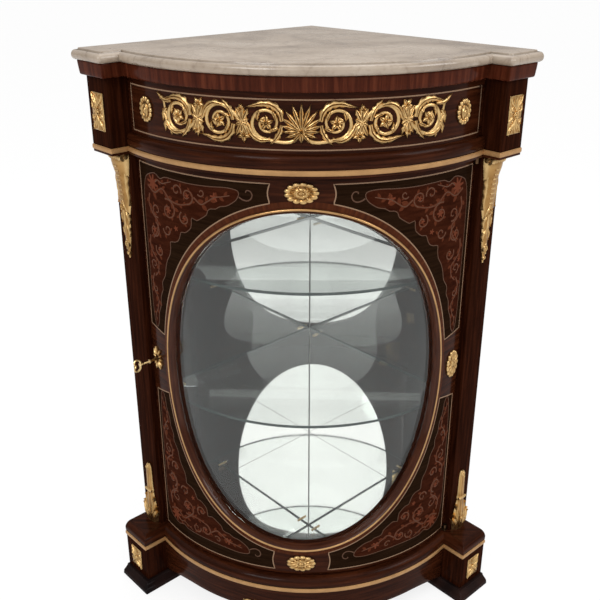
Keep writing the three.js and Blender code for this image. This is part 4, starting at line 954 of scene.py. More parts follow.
ebony = wood("ebony_ground", [(0.3, (0.0085, 0.0036, 0.0016)), (0.7, (0.0175, 0.0080, 0.0038))],
             stretch=(12, 260), pores=0.2, coat=0.01, sheen=0)
field_veneer = wood("dyed_field", [
    (0.3, (0.020, 0.0044, 0.0018)), (0.5, (0.029, 0.0068, 0.0028)), (0.72, (0.041, 0.0105, 0.0045))],
    stretch=(26, 120), pores=0.3, coat=0.015, sheen=0)
leaf_veneer = wood("leaf_veneer", [
    (0.3, (0.052, 0.0128, 0.0056)), (0.55, (0.084, 0.0225, 0.0100)), (0.75, (0.122, 0.0370, 0.0175))],
    stretch=(60, 60), pores=0.15, coat=0.02, sheen=0)
flower_veneer = wood("flower_veneer", [(0.3, (0.088, 0.022, 0.0105)), (0.7, (0.145, 0.043, 0.0215))],
                     stretch=(60, 60), pores=0.1, coat=0.02, sheen=0)
outline_veneer = wood("outline_veneer", [(0.3, (0.066, 0.034, 0.021)), (0.7, (0.112, 0.058, 0.037))],
                      stretch=(50, 50), pores=0.1)
boxwood = wood("boxwood_string", [(0.3, (0.19, 0.115, 0.070)), (0.7, (0.28, 0.178, 0.113))],
               stretch=(30, 200), pores=0.1)
ring_veneer = wood("ring_crossband", [
    (0.25, (0.036, 0.0082, 0.0026)), (0.5, (0.055, 0.0135, 0.0042)), (0.75, (0.082, 0.022, 0.0070))],
    across=True, stretch=(5, 170), pores=0.3)

ring_edge = 29


def oval_run(offset, start, stop, count):
    return [oval_flat(offset, start + (stop - start) * k / count) for k in range(count + 1)]


# Points along a straight line between two flat points, without the first
def straight(start, stop, count):
    return [(start[0] + (stop[0] - start[0]) * k / count, start[1] + (stop[1] - start[1]) * k / count)
            for k in range(1, count + 1)]


def ground_outline(side, up):
    if up > 0:
        tip_arc, tip_in, edge_z, corner_z, side_z, arc = 53, 57, 954, 953.5, 620, 350
    else:
        tip_arc, tip_in, edge_z, corner_z, side_z, arc = 54, 58, 148, 146, 489, 347
    end_turn = acos(tip_arc / (oval_wide + ring_edge)) * up
    side_turn = asin((side_z - oval_z) / (oval_tall + ring_edge))
    inner = oval_run(ring_edge, end_turn, side_turn, 60)
    points = [(arc, corner_z), *straight((arc, corner_z), (tip_arc, edge_z), 30)]
    for k in range(1, 8):
        points.append((tip_arc + (tip_in - tip_arc) * sin(pi * k / 8),
                       edge_z + (inner[0][1] - edge_z) * k / 8))
    points += [*inner, *straight(inner[-1], (arc, side_z + 8 * up), 16)]
    points += straight((arc, side_z + 8 * up), (arc, corner_z), 24)[:-1]
    return [(side * x, z) for x, z in points]


field_edge = [(318, 935), (296, 941), (280, 934), (266, 939), (240, 939), (205, 938), (165, 939),
              (135, 941), (118, 940), (109, 937), (107.6, 930.8), (112, 922), (122, 914), (131, 909),
              (144, 906), (152, 901), (161.5, 900), (168, 896), (171, 888), (182, 880), (193, 874),
              (203.5, 877), (205, 868), (207, 858), (214, 851), (222, 846), (231, 845), (235, 836),
              (240, 827), (250, 822), (261, 820), (262, 808), (265, 795), (274, 781), (280, 765),
              (284, 748), (295, 731), (295, 716), (303, 700), (306, 680), (314, 662), (318, 640),
              (326, 628), (333, 640), (337, 680), (338, 740), (339, 800), (339, 860), (337, 900),
              (330, 925)]


def curl(x, z, radius, start, sweep, tighten=0.75, count=22):
    start, sweep = radians(start), radians(sweep)
    made = []
    for k in range(count + 1):
        made += ray(x, z, start + sweep * k / count, [radius * (1 - tighten * k / count)])
    return made


# Leaf scrolls of one corner, drawn for the upper right: a stem to each tip, with curls and sprigs
field_strokes = [
    (smooth_line([(322, 915), (300, 905), (276, 916), (255, 900), (232, 896), (212, 900)]), 2.2, 1.5, 1.0),
    (curl(212, 915, 15, -90, -400), 1.8, 1.0, 0.7),
    (smooth_line([(197, 915), (182, 905), (168, 912), (154, 921), (140, 924), (124, 928)]), 1.7, 0.9, 1.0),
    (curl(237, 921, 12, 200, -380), 1.5, 0.9, 0.6), (curl(181, 926, 8, -30, -330), 1.3, 0.8, 0.4),
    (smooth_line([(318, 900), (322, 880), (310, 862), (296, 850), (300, 830), (314, 815)]), 2.2, 1.5, 1.0),
    (curl(262, 880, 21, 70, 420), 2.0, 1.0, 0.8), (curl(221, 872, 13, 60, -400), 1.6, 0.9, 0.6),
    (curl(298, 872, 14, 250, 400), 1.7, 0.9, 0.6), (curl(309, 832, 17, 110, 400), 1.8, 0.9, 0.8),
    (curl(268, 842, 12, 0, -380), 1.5, 0.9, 0.7),
    (smooth_line([(326, 818), (328, 795), (316, 780), (304, 770), (306, 750), (318, 738)]), 1.9, 1.3, 1.0),
    (curl(296, 795, 13, 30, -390), 1.6, 0.9, 0.7), (curl(318, 762, 11, -80, 380), 1.5, 0.8, 0.6),
    (smooth_line([(322, 742), (330, 722), (322, 702), (313, 690), (318, 670), (327, 655), (327, 640)]),
     1.7, 0.8, 1.0), (curl(320, 712, 9, 40, -360), 1.3, 0.8, 0.5),
    (smooth_line([(296, 925), (288, 930), (276, 926), (262, 930), (250, 934)]), 1.4, 0.8, 0.7)]


def petals(x, z, size, count, turn=0.0, narrow=0.45):
    made = []
    for k in range(count):
        rays = ray(x, z, turn + 2 * pi * k / count, (0, size * 0.6, size))
        made.append((rays, size * narrow * 0.7, size * narrow * 0.35, 0))
    return made


flower_strokes = []
for flower in ((305, 921, 17, 8, 0.2, 0.3), (154, 921, 8.5, 5, 0.3), (262, 880, 8, 6), (309, 832, 7, 5),
               (212, 915, 5.5, 5), (221, 872, 5, 5), (296, 795, 5, 5), (327, 777, 5, 5), (244, 849, 5.5, 5)):
    flower_strokes += petals(*flower)
tip_curl = smooth_line([(107, 927), (100, 923), (92, 922), (85.5, 926), (83.5, 933), (87, 939), (93, 939.6),
                        (95, 936)])

corner_signs = [(side, up) for up in (1, -1) for side in (-1, 1)]


def set_corner(points, side, up):
    return [(side * x, z if up > 0 else 2 * oval_z - z) for x, z in points]


grounds = [ground_outline(side, up) for side, up in corner_signs]
fit(veneer_sheet("corner_grounds", grounds, door_radius, inlay_lift), ebony, "door", "rosewood")
field_line = smooth_line(field_edge, closed=True, step=4)
fields = [set_corner(field_line, side, up) for side, up in corner_signs]
fit(veneer_sheet("corner_fields", fields, door_radius, inlay_lift + 0.06), field_veneer, "door", "rosewood")

veneer_leaf = leaf_blank("veneer_leaf")


# The strokes of one corner in all four; a row below holds leaf spacing, size and spread
def corner_set(strokes):
    return [(set_corner(points, side, up), *form) for side, up in corner_signs for points, *form in strokes]


wide_strokes = [(points, start * 1.35, end * 1.35, grown) for points, start, end, grown in field_strokes]
engraved = [(points, 0.95, 0.6, 0) for points, *_ in field_strokes]
outlines = [(field_line + [field_line[0]], 0.85, 0.85, 0), (tip_curl, 1.3, 1.0, 0)]
string_strokes = [(outline + outline[:2], 1.15, 1.15, 0) for outline in grounds]
bare = (50, 0.1, 0.8)
for name, strokes, leaves, material, lift, flatness in (
        ("corner_scrolls", corner_set(wide_strokes), (9.5, 15.0, 0.75), leaf_veneer, 0.02, 0.09),
        ("corner_flowers", corner_set(flower_strokes), bare, flower_veneer, 0.03, 0.06),
        ("corner_engraving", corner_set(engraved), bare, outline_veneer, 0.12, 0.3),
        ("corner_outlines", corner_set(outlines), bare, outline_veneer, 0.02, 0.22),
        ("corner_stringing", string_strokes, bare, boxwood, -0.02, 0.22)):
    made = drawn(name, strokes, veneer_leaf, *leaves, material)
    fit(bend_on(made, door_radius, inlay_lift + lift, flatness, name), material, "door", "rosewood")
bpy.data.objects.remove(veneer_leaf)


def oval_band(name, profile, count=240):
    rows = []
    for offset, radius in profile:
        rows.append([on_bow(*oval_flat(offset, 2 * pi * k / count), radius) for k in range(count)])
    return shell(name, rows, wrap_rows=True, wrap_columns=True)


piece = oval_band("ring_crossband", [
    (17.1, door_radius - 0.4), (28.8, door_radius - 0.4), (28.8, door_radius + inlay_lift + 0.05),
    (23, door_radius + inlay_lift + 0.05), (17.1, door_radius + inlay_lift + 0.05)])
fit(piece, ring_veneer, "door", "crossband")

# Moulding and bead round the opening
# A bent rosewood moulding lines the opening and slopes down to the glass, and a cast and gilt bead
# lies round it. Both are pinned to the face of the door.
ring_wood = wood("ring_moulding", [(0.25, (0.024, 0.0062, 0.0027)), (0.5, (0.045, 0.0125, 0.0052)),
                                   (0.75, (0.075, 0.0230, 0.0100))], stretch=(14, 260), pores=0.3, coat=0.3)
seat = door_radius + 0.15
piece = oval_band("opening_moulding", [
    (10.1, seat - 0.1), (12, seat - 0.1), (12, seat + 2.6), (11.8, seat + 3.8), (11.3, seat + 4.6),
    (10.7, seat + 4.8), (10, seat + 4.2), (9.3, seat + 3), (8.6, seat + 1.2), (8, seat - 1),
    (7.4, seat - 3.6), (6.9, seat - 6.6), (6.5, door_radius - lip + 1), (6.5, door_radius - lip),
    (10.1, door_radius - lip)])
fit(piece, ring_wood, "door", "crossband", "oval_moulding")
bead_in, bead_round = 12.2, 2.5
bead_section = [(bead_in, seat - 0.1), (bead_in + 2 * bead_round, seat - 0.1)]
for angle in range(-30, 211, 20):
    bead_section += ray(bead_in + bead_round, seat + 2.2, radians(angle), [bead_round])
piece = oval_band("opening_gilt_bead", bead_section, 300)
fit(piece, bead_gilt, "door", "gilt", "oval_gilt_bead")

# Door glass and the bead behind it
# A pane bent to the bow and ground to the oval lies in the rebate from inside, held by a thin
# rosewood bead.
door_glass = thin_glass("bent_glass", (0.985, 0.987, 0.982))
glass_outer = door_radius - lip - seat_gap
glass_thickness = 4
glass_inner = glass_outer - glass_thickness


def pane_ring(share, offset, radius, count=192):
    ring = []
    for k in range(count):
        arc, z = oval_flat(offset, 2 * pi * k / count)
        ring.append(on_bow(arc * share, oval_z + (z - oval_z) * share, radius))
    return ring


rows = [pane_ring(k / 14, 7.7, glass_outer) for k in range(15)]
rows += [pane_ring(k / 14, 7.7, glass_inner) for k in range(14, -1, -1)]
fit(shell("bent_pane", rows, wrap_columns=True, sharp_angle=60), door_glass, "door", "glass", "door_glass")
piece = oval_band("glazing_bead_polished", [
    (5, glass_inner - 0.3), (7.4, glass_inner - 0.3), (7.4, door_inner), (6.4, door_inner),
    (5.8, door_inner + 0.4), (5.4, door_inner + 1.4), (5.1, door_inner + 3), (5, glass_inner - 2)])
fit(piece, rosewood, "door", "rosewood", "glazing_bead")

# Lock, bolt, strike plate, key and hinges
# The brass lock case is screwed into its recess, the steel bolt slides in it, and the key has a cast
# bow. Pivot hinges of brass plate sit at the right edge, above and below the door.
bright_steel = mottled(
    "drawn_steel", (80, 4, 0, (1, 1, 8)), [(0.3, (0.36, 0.35, 0.34)), (0.7, (0.58, 0.57, 0.55))],
    (400, 4), [(0.3, 0.25), (0.7, 0.45)], Metallic=1.0)
bronzed_brass = mottled(
    "bronzed_brass", (120, 5), [(0.3, (0.075, 0.042, 0.022)), (0.7, (0.14, 0.082, 0.042))],
    (300, 4), [(0.3, 0.35), (0.7, 0.5)], Metallic=1.0)
for node, width, material, body, slot in (
        ("strike_plate", 0.3, plain_brass, "case", "lock_brass"),
        ("lock_case", 0.4, plain_brass, "door", "lock_brass"),
        ("lock_bolt", 0.4, bright_steel, "bolt", "lock_steel"),
        ("hinge_plate_top", 0.2, bronzed_brass, "case", "lock_brass"),
        ("hinge_plate_bottom", 0.2, bronzed_brass, "case", "lock_brass"),
        ("hinge_leaf_top", 0.2, bronzed_brass, "door", "lock_brass"),
        ("hinge_leaf_bottom", 0.2, bronzed_brass, "door", "lock_brass")):
    fit(eased_copy(node, node + "_finished", width, 2), material, body, slot, node)

# Gilt mounts of the frieze
# A long openwork mount of leaf scrolls round a palmette, cast in brass in several lengths, chased,
# fire-gilt and pinned to the frieze, with an oval rosette and a line of stringing at each end.
# The casting's colour follows its pointiness: near black in the hollows as painted shade, pale on the sharp
# edges as rubbed gilding
mount_gilt = pale_gilt("gilt_casting", [(0.3, (0.72, 0.70, 0.66)), (0.62, (1, 1, 1))], (0.28, 0.44), 0.08, [
    (0.425, (0.045, 0.020, 0.007)), (0.48, (0.24, 0.122, 0.037)), (0.505, (0.39, 0.210, 0.068)),
    (0.55, (0.68, 0.46, 0.205))])


def join_flat(*parts):
    build = bmesh.new()
    for part in parts:
        build.from_mesh(part)
    joined = bpy.data.meshes.new("joined")
    build.to_mesh(joined)
    build.free()
    return joined


def flattened(mesh, share, lift=0.0):
    flat = flat_copy(mesh)
    flat[:, 2] = flat[:, 2] * share + lift
    mesh.vertices.foreach_set("co", flat.ravel())
    return mesh


def closed_rows(loops):
    verts, faces = [point for loop in loops for point in loop], []
    width = len(loops[0])
    for i in range(len(loops) - 1):
        for j in range(width):
            m = (j + 1) % width
            faces.append((i * width + j, i * width + m, (i + 1) * width + m, (i + 1) * width + j))
    faces.append(tuple(range(width)))
    faces.append(tuple(range((len(loops) - 1) * width, len(loops) * width)))
    mesh = bpy.data.meshes.new("relief")
    mesh.from_pydata(verts, [], faces)
    return mesh


# A cast leaf along a flat path: lobed edges, a sunk midrib, veins, and a tip that curls up
def acanthus(path, half, rise, lobes=4, steps=18, base=0.45):
    path = smooth_line(path, step=max(1.0, running_length(np.array(path))[-1] / steps))
    loops = []
    last = len(path) - 1
    across = (-1, -0.78, -0.5, -0.24, 0, 0.24, 0.5, 0.78, 1)
    for i, (x, z) in enumerate(path):
        t = i / last
        ahead, behind = path[min(last, i + 1)], path[max(0, i - 1)]
        along = Vector((ahead[0] - behind[0], ahead[1] - behind[1])).normalized()
        swell = base + (1 - base) * sin(pi * min(1, t * 1.25) / 2) ** 0.8
        taper = max(0.03, 1 - t ** 2.6)
        lobe = 1 - 0.3 * (0.5 - 0.5 * cos(2 * pi * (t * lobes % 1))) ** 2 if lobes else 1
        width = half * swell * taper * lobe
        lift = rise * (0.45 + 0.55 * sin(pi * min(1, 0.2 + t * 0.9)) + 0.3 * t ** 4)
        loop = []
        for s in across:
            crown = (1 - abs(s) ** 2.4) * (1 - 0.38 * exp(-(s / 0.16) ** 2))
            vein = 0.16 * cos(2 * pi * (t * lobes - 0.7 * abs(s))) * abs(s) if lobes else 0
            rise_here = lift * (0.12 + 0.88 * crown + vein)
            loop.append((x - along.y * s * width, z + along.x * s * width, rise_here))
        loop += [(x - along.y * s * width * 0.9, z + along.x * s * width * 0.9, -0.8) for s in (1, -1)]
        loops.append(loop)
    return closed_rows(loops)


# A cast boss in an oval: petals, a sunk ring and a smaller flower in the middle
def flower_boss(x, z, wide, tall, rise, count, inner=6, around=None):
    around = around or max(40, count * 8)
    loops = []
    for size, out, scallop, dimple in (
            (0.94, -0.8, 1, 0), (1, 0.05, 1, 0), (1, 0.35, 1, 0.2), (0.95, 0.62, 1, 0.35),
            (0.86, 0.78, 0.9, 0.5), (0.75, 0.74, 0.6, 0.55), (0.64, 0.55, 0.3, 0.5), (0.56, 0.36, 0, 0.1),
            (0.5, 0.4, 0, 0), (0.46, 0.62, 0, 0), (0.38, 0.84, 0, -0.3), (0.26, 0.92, 0, -0.3),
            (0.17, 0.8, 0, 0), (0.13, 0.98, 0, 0), (0.06, 1.1, 0, 0), (0.01, 1.12, 0, 0)):
        loop = []
        for k in range(around):
            turn = 2 * pi * k / around
            petal = abs(cos(count * turn / 2))
            reach = size * (1 - 0.13 * scallop * (1 - petal ** 0.6))
            wave = dimple * (petal - 0.4)
            if dimple <= 0:
                wave = -dimple * (abs(cos(inner * turn / 2)) - 0.6)
            loop.append((x + wide * reach * cos(turn), z + tall * reach * sin(turn),
                         rise * (out + 0.55 * wave) if out > 0 else out))
        loops.append(loop)
    return closed_rows(loops)


def mirror_flat(mesh):
    flipped = mesh.copy()
    flat = flat_copy(flipped)
    flat[:, 0] *= -1
    flipped.vertices.foreach_set("co", flat.ravel())
    return flipped


scroll_z = (frieze_low + frieze_high - 1) / 2
scroll_first, scroll_pitch, scroll_radius = 56, 80, 26.5
cast_leaf = leaf_blank("cast_leaf", lobes=3, steps=8)


def spiral(i, hand, sweep=1.55, tighten=0.74, count=36):
    x = scroll_first + i * scroll_pitch
    points = []
    for k in range(count + 1):
        turn = 2 * pi * sweep * k / count - pi / 2
        radius = scroll_radius * (1 - tighten * k / count)
        points.append((x + radius * cos(turn), scroll_z + hand * radius * sin(turn)))
    return points


def link_run(start, stop, hand, count=10):
    points = []
    for k in range(count):
        wave = hand * scroll_radius * cos(pi * k / count)
        points.append((start + (stop - start) * k / count, scroll_z + wave))
    return points


# A five-petalled flower with a domed eye
def blossom(x, z, size, rise, turn=0.3, count=5):
    made = []
    for k in range(count):
        rays = ray(x, z, turn + 2 * pi * k / count, (0.2 * size, 0.6 * size, size))
        made.append(acanthus(rays, size * 0.42, rise * 0.8, 0, steps=8, base=0.55))
    made.append(flower_boss(x, z, size * 0.3, size * 0.3, rise * 1.1, 3, 3, 18))
    return made


# A leaf bent round a coil, given by angles in degrees and distances from the coil's middle
def coil_leaf(x, hand, turns, half, rise, lobes):
    path = [(x + reach * cos(radians(angle)), scroll_z + hand * reach * sin(radians(angle)))
            for angle, reach in turns]
    return acanthus(path, half, rise, lobes, steps=30, base=0.5)


coil_leaves = (
    (((172, 26), (140, 28), (108, 30), (78, 31), (52, 34), (34, 43)), 8.6, 5.2, 6),
    (((-104, 27), (-70, 29), (-40, 29.5), (-12, 30), (12, 35)), 7.6, 4.8, 5),
    (((186, 25), (212, 26), (238, 29), (262, 36)), 6.6, 4.6, 4),
    (((200, 20), (230, 15), (262, 12)), 5.0, 4.2, 3),
    (((60, 22), (35, 18), (8, 14)), 5.0, 4.2, 3), (((120, 21), (150, 17), (175, 15)), 4.8, 4.2, 3))
half_strokes, half_reliefs = [], []
for i in range(3):
    hand = -1 if i % 2 else 1
    x = scroll_first + i * scroll_pitch
    if i:
        run = link_run(x - scroll_pitch, x, hand)
    else:
        run = smooth_line([(5, scroll_z - 20), (13, scroll_z - 28), (26, scroll_z - 30.5),
                           (42, scroll_z - 29)])
    half_strokes.append((run + spiral(i, hand), 3.7, 2.0, 0.4))
    half_reliefs += [coil_leaf(x, hand, *leaf) for leaf in coil_leaves]
    half_reliefs += blossom(x, scroll_z, 12.5, 6.2, 0.3 + i)
    joint = x + scroll_pitch / 2
    if i < 2:
        for angle, length, wide in (
                (90, 30, 6.4), (58, 27, 6.4), (122, 27, 6.4), (-90, 30, 6.4), (-58, 27, 6.4),
                (-122, 27, 6.4), (20, 17, 5.2), (160, 17, 5.2), (-20, 17, 5.2), (200, 17, 5.2)):
            lean = radians(angle)
            path = [(joint + length * x * cos(lean), scroll_z + length * z * sin(lean))
                    for x, z in ((0, 0), (0.45, 0.6), (0.75, 1))]
            half_reliefs.append(acanthus(path, wide, 4.4, 3))
        half_reliefs += blossom(joint - 3, scroll_z + (24 if i else -21), 11.5, 5.8, 0.9)
        half_reliefs += blossom(joint + 2, scroll_z + (-19 if i else 20), 8, 5, 0.2)
tip_x = scroll_first + 2 * scroll_pitch
tail = smooth_line([(tip_x + 24, scroll_z - 8), (tip_x + 31, scroll_z + 8), (tip_x + 34, scroll_z + 20),
                    (tip_x + 43, scroll_z + 29)])
half_strokes.append((tail, 2.8, 1.2, 0.4))
for path, half, rise, lobes in (
        (((14, 22), (28, 22), (38, 26), (48, 34)), 6, 4.6, 5), (((27, 10), (34, 0), (35, -12)), 5.6, 4.4, 4),
        (((22, -8), (31, -17), (30, -29)), 5.6, 4.4, 4), (((8, -24), (17, -28), (16, -34)), 5, 4, 3)):
    half_reliefs.append(acanthus([(tip_x + x, scroll_z + z) for x, z in path], half, rise, lobes))
middle_reliefs = []
base_z = scroll_z - 13
for angle, length, wide in (
        (90, 47, 6.4), (72, 46, 6), (108, 46, 6), (54, 43, 6), (126, 43, 6), (36, 39, 6), (144, 39, 6),
        (18, 34, 5.8), (162, 34, 5.8), (0, 29, 5.6), (180, 29, 5.6), (-90, 19, 7), (-52, 23, 6),
        (-128, 23, 6), (-22, 26, 5.4), (-158, 26, 5.4)):
    lean = radians(angle)
    path = [(0, base_z), (length * 0.5 * cos(lean), base_z + length * 0.5 * sin(lean)),
            (length * cos(lean) * 1.06, base_z + length * sin(lean))]
    middle_reliefs.append(acanthus(path, wide, 5.6, 3, base=0.25))
middle_reliefs += blossom(0, base_z, 10, 7.6, 0.3, 6)


# A relief that is alike on both sides: the stems and leaves of its right half, and its middle
def twin_relief(name, strokes, leaves, reliefs, middle):
    mirrored = [([(-x, z) for x, z in points], *form) for points, *form in strokes]
    stems = drawn(name, strokes + mirrored, cast_leaf, *leaves, mount_gilt)
    return join_flat(flattened(stems, 0.85), *reliefs, *[mirror_flat(part) for part in reliefs], *middle)


def mount_on(relief, radius, lift, name, node):
    fit(bend_on(relief, radius + seat_gap, lift, 1, name, radius), mount_gilt, "case", "gilt", node)


relief = twin_relief("frieze_stems", half_strokes, (8.5, 10, 0.95), half_reliefs, middle_reliefs)
mount_on(relief, frieze_radius, 0.4, "frieze_scroll_casting", "frieze_scroll_mount")

line_low, line_high, line_arc = frieze_low + 31, frieze_high - 38.2, 350
frame_corners = [(line_arc, line_high), (-line_arc, line_high), (-line_arc, line_low), (line_arc, line_low)]
frame_line = [frame_corners[0]]
for k, count in enumerate((140, 16, 140, 16)):
    frame_line += straight(frame_corners[k], frame_corners[(k + 1) % 4], count)
made = drawn("frieze_stringing", [(frame_line + frame_line[1:2], 1.15, 1.15, 0)], cast_leaf, *bare, boxwood)
fit(bend_on(made, frieze_radius, 0.12, 0.2, "frieze_stringing"), boxwood, "case", "rosewood")

rosette_arc = 299
for side_name, side in both_sides:
    rosette = join_flat(flower_boss(side * rosette_arc, scroll_z, 18, 22.5, 5, 14, 6, 140),
                        flower_boss(side * rosette_arc, scroll_z - 2, 8.5, 13, 6.2, 2, 2, 40))
    mount_on(rosette, frieze_radius, 0.2, "frieze_oval_" + side_name, "frieze_rosette_" + side_name)

# Rosettes of the door and the key escutcheon
# Oval castings over the stringing above, below and beside the opening. The left one has the keyhole
# through it.
top_z = sum(heights("door_rosette_top")) / 2
bottom_z = sum(heights("door_rosette_bottom")) / 2
key_plan = side_point(-1, bow_reach(door_radius, door_end), key_depth)
key_arc = door_radius * atan2(key_plan[0], bow_axis_y - key_plan[1])
rosette_long, rosette_short, petal_count = 30, 19.5, 13


def door_rosette(name, arc, z, wide, tall):
    parts = [flower_boss(arc, z, wide * 0.98, tall * 0.98, 4.8, petal_count, 8, 12 * petal_count),
             flower_boss(arc, z, wide * 0.36, tall * 0.34, 6, 2, 2, 40)]
    for k in range(petal_count):
        lean = 2 * pi * k / petal_count
        path = [(arc + wide * r * cos(lean), z + tall * r * sin(lean)) for r in (0.34, 0.6, 0.86)]
        parts.append(acanthus(path, min(wide, tall) * 0.15, 5.2, 0, steps=8, base=0.6))
    return bend_on(join_flat(*parts), door_radius, 0.35, 1, name)


for node, arc, z, wide, tall in (
        ("door_rosette_top", 0, top_z, rosette_long, rosette_short),
        ("door_rosette_bottom", 0, bottom_z, rosette_long, rosette_short),
        ("door_rosette_right", -key_arc, oval_z, rosette_short, rosette_long),
        ("key_escutcheon", key_arc, oval_z, rosette_short, rosette_long)):
    piece = door_rosette(node + "_casting", arc, z, wide, tall)
    if node == "key_escutcheon":
        carve(piece, keyhole_cutters(*keyhole_reaches))
    fit(piece, mount_gilt, "door", "gilt", node)

# Plaques on the blocks
# Cast plates with an eased edge, covered with leaf fans and scrolls round a flower, pinned to the end
# faces of the frieze blocks and the foot blocks.
def on_face(mesh, side, reach, depth_middle, z_middle, name):
    flat = flat_copy(mesh)
    depth = depth_middle + side * flat[:, 0]
    out = reach + flat[:, 2]
    x = side * (out - depth) * diagonal
    y = wall_corner_y - (out + depth) * diagonal
    return seated(mesh, [x / 1000, y / 1000, (z_middle + flat[:, 1]) / 1000], name)


def fan(x, z, length, wide, rise, angles, lobes=3):
    made = []
    for angle in angles:
        rays = ray(x, z, radians(angle), (0, length * 0.5, length))
        made.append(acanthus(rays, wide, rise, lobes, steps=12, base=0.3))
    return made


def plaque(wide, tall):
    loops = []
    for inset, out in ((2.6, -0.6), (2.6, 0.7), (3.0, 1.2), (3.8, 1.4)):
        w, t, r = wide - inset, tall - inset, max(0.6, 3 - inset)
        loop = []
        for cx, cz, start in ((1, 1, 0), (-1, 1, 90), (-1, -1, 180), (1, -1, 270)):
            for k in range(5):
                turn = radians(start + k * 22.5)
                loop.append((cx * (w - r) + r * cos(turn), cz * (t - r) + r * sin(turn), out))
        loops.append(loop)
    parts = [closed_rows(loops)]
    for up in (-1, 1):
        parts += fan(0, up * tall * 0.18, tall * 0.72, wide * 0.19, 4.4, (90 * up, 68 * up, 112 * up))
        for hand in (-1, 1):
            edge = wide * 0.84 * hand
            high_leaf = [(hand * 3, up * tall * 0.34), (hand * wide * 0.6, up * tall * 0.62),
                         (edge, up * tall * 0.93)]
            low_leaf = [(hand * 4, up * tall * 0.1), (hand * wide * 0.7, up * tall * 0.2),
                        (edge, up * tall * 0.5)]
            parts += [acanthus(high_leaf, wide * 0.2, 4.6, 4), acanthus(low_leaf, wide * 0.18, 4.2, 4)]
    scrolls = []
    for sx in (-1, 1):
        for sz in (-1, 1):
            coil = curl(sx * wide * 0.5, sz * tall * 0.22, wide * 0.3, 90 * sz, 430 * sx * -sz, 0.7, 18)
            scrolls.append((coil, 1.3, 0.8, 0.5))
            parts += fan(sx * wide * 0.3, sz * tall * 0.05, wide * 0.55, wide * 0.12, 3,
                         (20 * sz if sx > 0 else 180 - 20 * sz,))
    parts.append(flower_boss(0, 0, wide * 0.3, wide * 0.3, 5, 6, 6))
    stems = drawn("plaque_scrolls", scrolls, cast_leaf, 5, 6, 0.9, mount_gilt)
    return join_flat(*parts, flattened(stems, 1.2, 1.2))


for side_name, side in both_sides:
    for node, wide, tall in (("block_plaque_" + side_name, 21, 36), ("foot_plaque_" + side_name, 20, 27)):
        block = post(("frieze_block_" if node.startswith("block") else "foot_block_") + side_name)
        piece = on_face(plaque(wide, tall), side, block[0] + seat_gap + 0.2, (wall_gap + block[1]) / 2,
                        sum(heights(node)) / 2, node + "_casting")
        fit(piece, mount_gilt, "case", "gilt", node)

# Mounts on the stiles
# Above, a console with a rolled head over ribs, leaves and a tail of drops. Below, a reeded stem
# that rises from a clump of leaves on the base board. Both are hollow castings, pinned on.
def reeded_body(stations, length, half, out, reeds, reed_depth, steps=60, across=26):
    downs, wides, deeps = (np.array(column) for column in zip(*stations))
    loops = []
    for i in range(steps + 1):
        down = i / steps
        wide = float(np.interp(down, downs, wides)) * half
        deep = float(np.interp(down, downs, deeps)) * out
        loop = []
        for k in range(across + 1):
            s = -1 + 2 * k / across
            crown = max(0.0, 1 - abs(s) ** 2.6) ** 0.5
            reed = 1 + reed_depth * (abs(sin(pi * reeds * (s + 1) / 2)) - 0.6)
            loop.append((s * wide, -down * length, deep * crown * reed + (0 if abs(s) < 1 else 0.1)))
        loop += [(wide * 0.9, -down * length, -0.4), (-wide * 0.9, -down * length, -0.4)]
        loops.append(loop)
    return closed_rows(loops)


def cross_roll(half, radius, z, out, turns=18):
    loops = []
    for k in range(13):
        x = half * (-1 + 2 * k / 12)
        fat = radius * (1 - 0.18 * abs(x / half) ** 6) * (0.93 + 0.07 * cos(k * pi))
        loops.append([(x, *ray(z, out, 2 * pi * j / turns, [fat])[0]) for j in range(turns)])
    return closed_rows(loops)


console_length, console_out, stem_length = 210, 20, 146


def console():
    stations = [(0, 0.8, 0.55), (0.03, 0.94, 0.86), (0.09, 0.94, 0.92), (0.14, 0.86, 0.8),
                (0.2, 0.76, 0.62), (0.28, 0.7, 0.5), (0.38, 0.7, 0.42), (0.47, 0.72, 0.4),
                (0.54, 0.56, 0.36), (0.62, 0.42, 0.3), (0.75, 0.36, 0.27), (0.86, 0.24, 0.3),
                (1, 0.06, 0.14)]
    parts = [reeded_body(stations, console_length, 25, console_out, 1, 0)]
    parts.append(cross_roll(21, 8.2, -9.4, 10.6))
    for i in range(9):
        down = (26 + 9.3 * i) / console_length
        deep = console_out * float(np.interp(down, [s[0] for s in stations], [s[2] for s in stations]))
        parts.append(cross_roll(6.6 - i * 0.2, 2.2, -console_length * down, deep - 0.9, 12))
    for x in (-20, 20):
        parts.append(flower_boss(x, -9, 3.2, 7.6, 11, 4, 4))
    for hand in (-1, 1):
        for path, half, rise, lobes, steps in (
                (((12, -18), (15, -45), (15, -75), (19, -102)), 5.6, 9, 5, 26),
                (((4, -112), (10, -124), (12, -140)), 4.4, 7.6, 3, 18),
                (((3, -140), (8, -152), (9, -166)), 3.6, 6.6, 3, 18)):
            parts.append(acanthus([(hand * x, z) for x, z in path], half, rise, lobes, steps))
    parts += fan(0, -96, 76, 7.4, 8.6, (-90,), 5)
    parts += fan(0, -92, 30, 5, 10, (-66, -114), 3)
    parts.append(flower_boss(0, -108, 5.4, 5.4, 11, 5, 5))
    parts.append(flower_boss(0, -181, 5.6, 12, 7.6, 4, 4))
    parts.append(flower_boss(0, -200, 4.2, 5, 5.6, 2, 2))
    return join_flat(*parts)


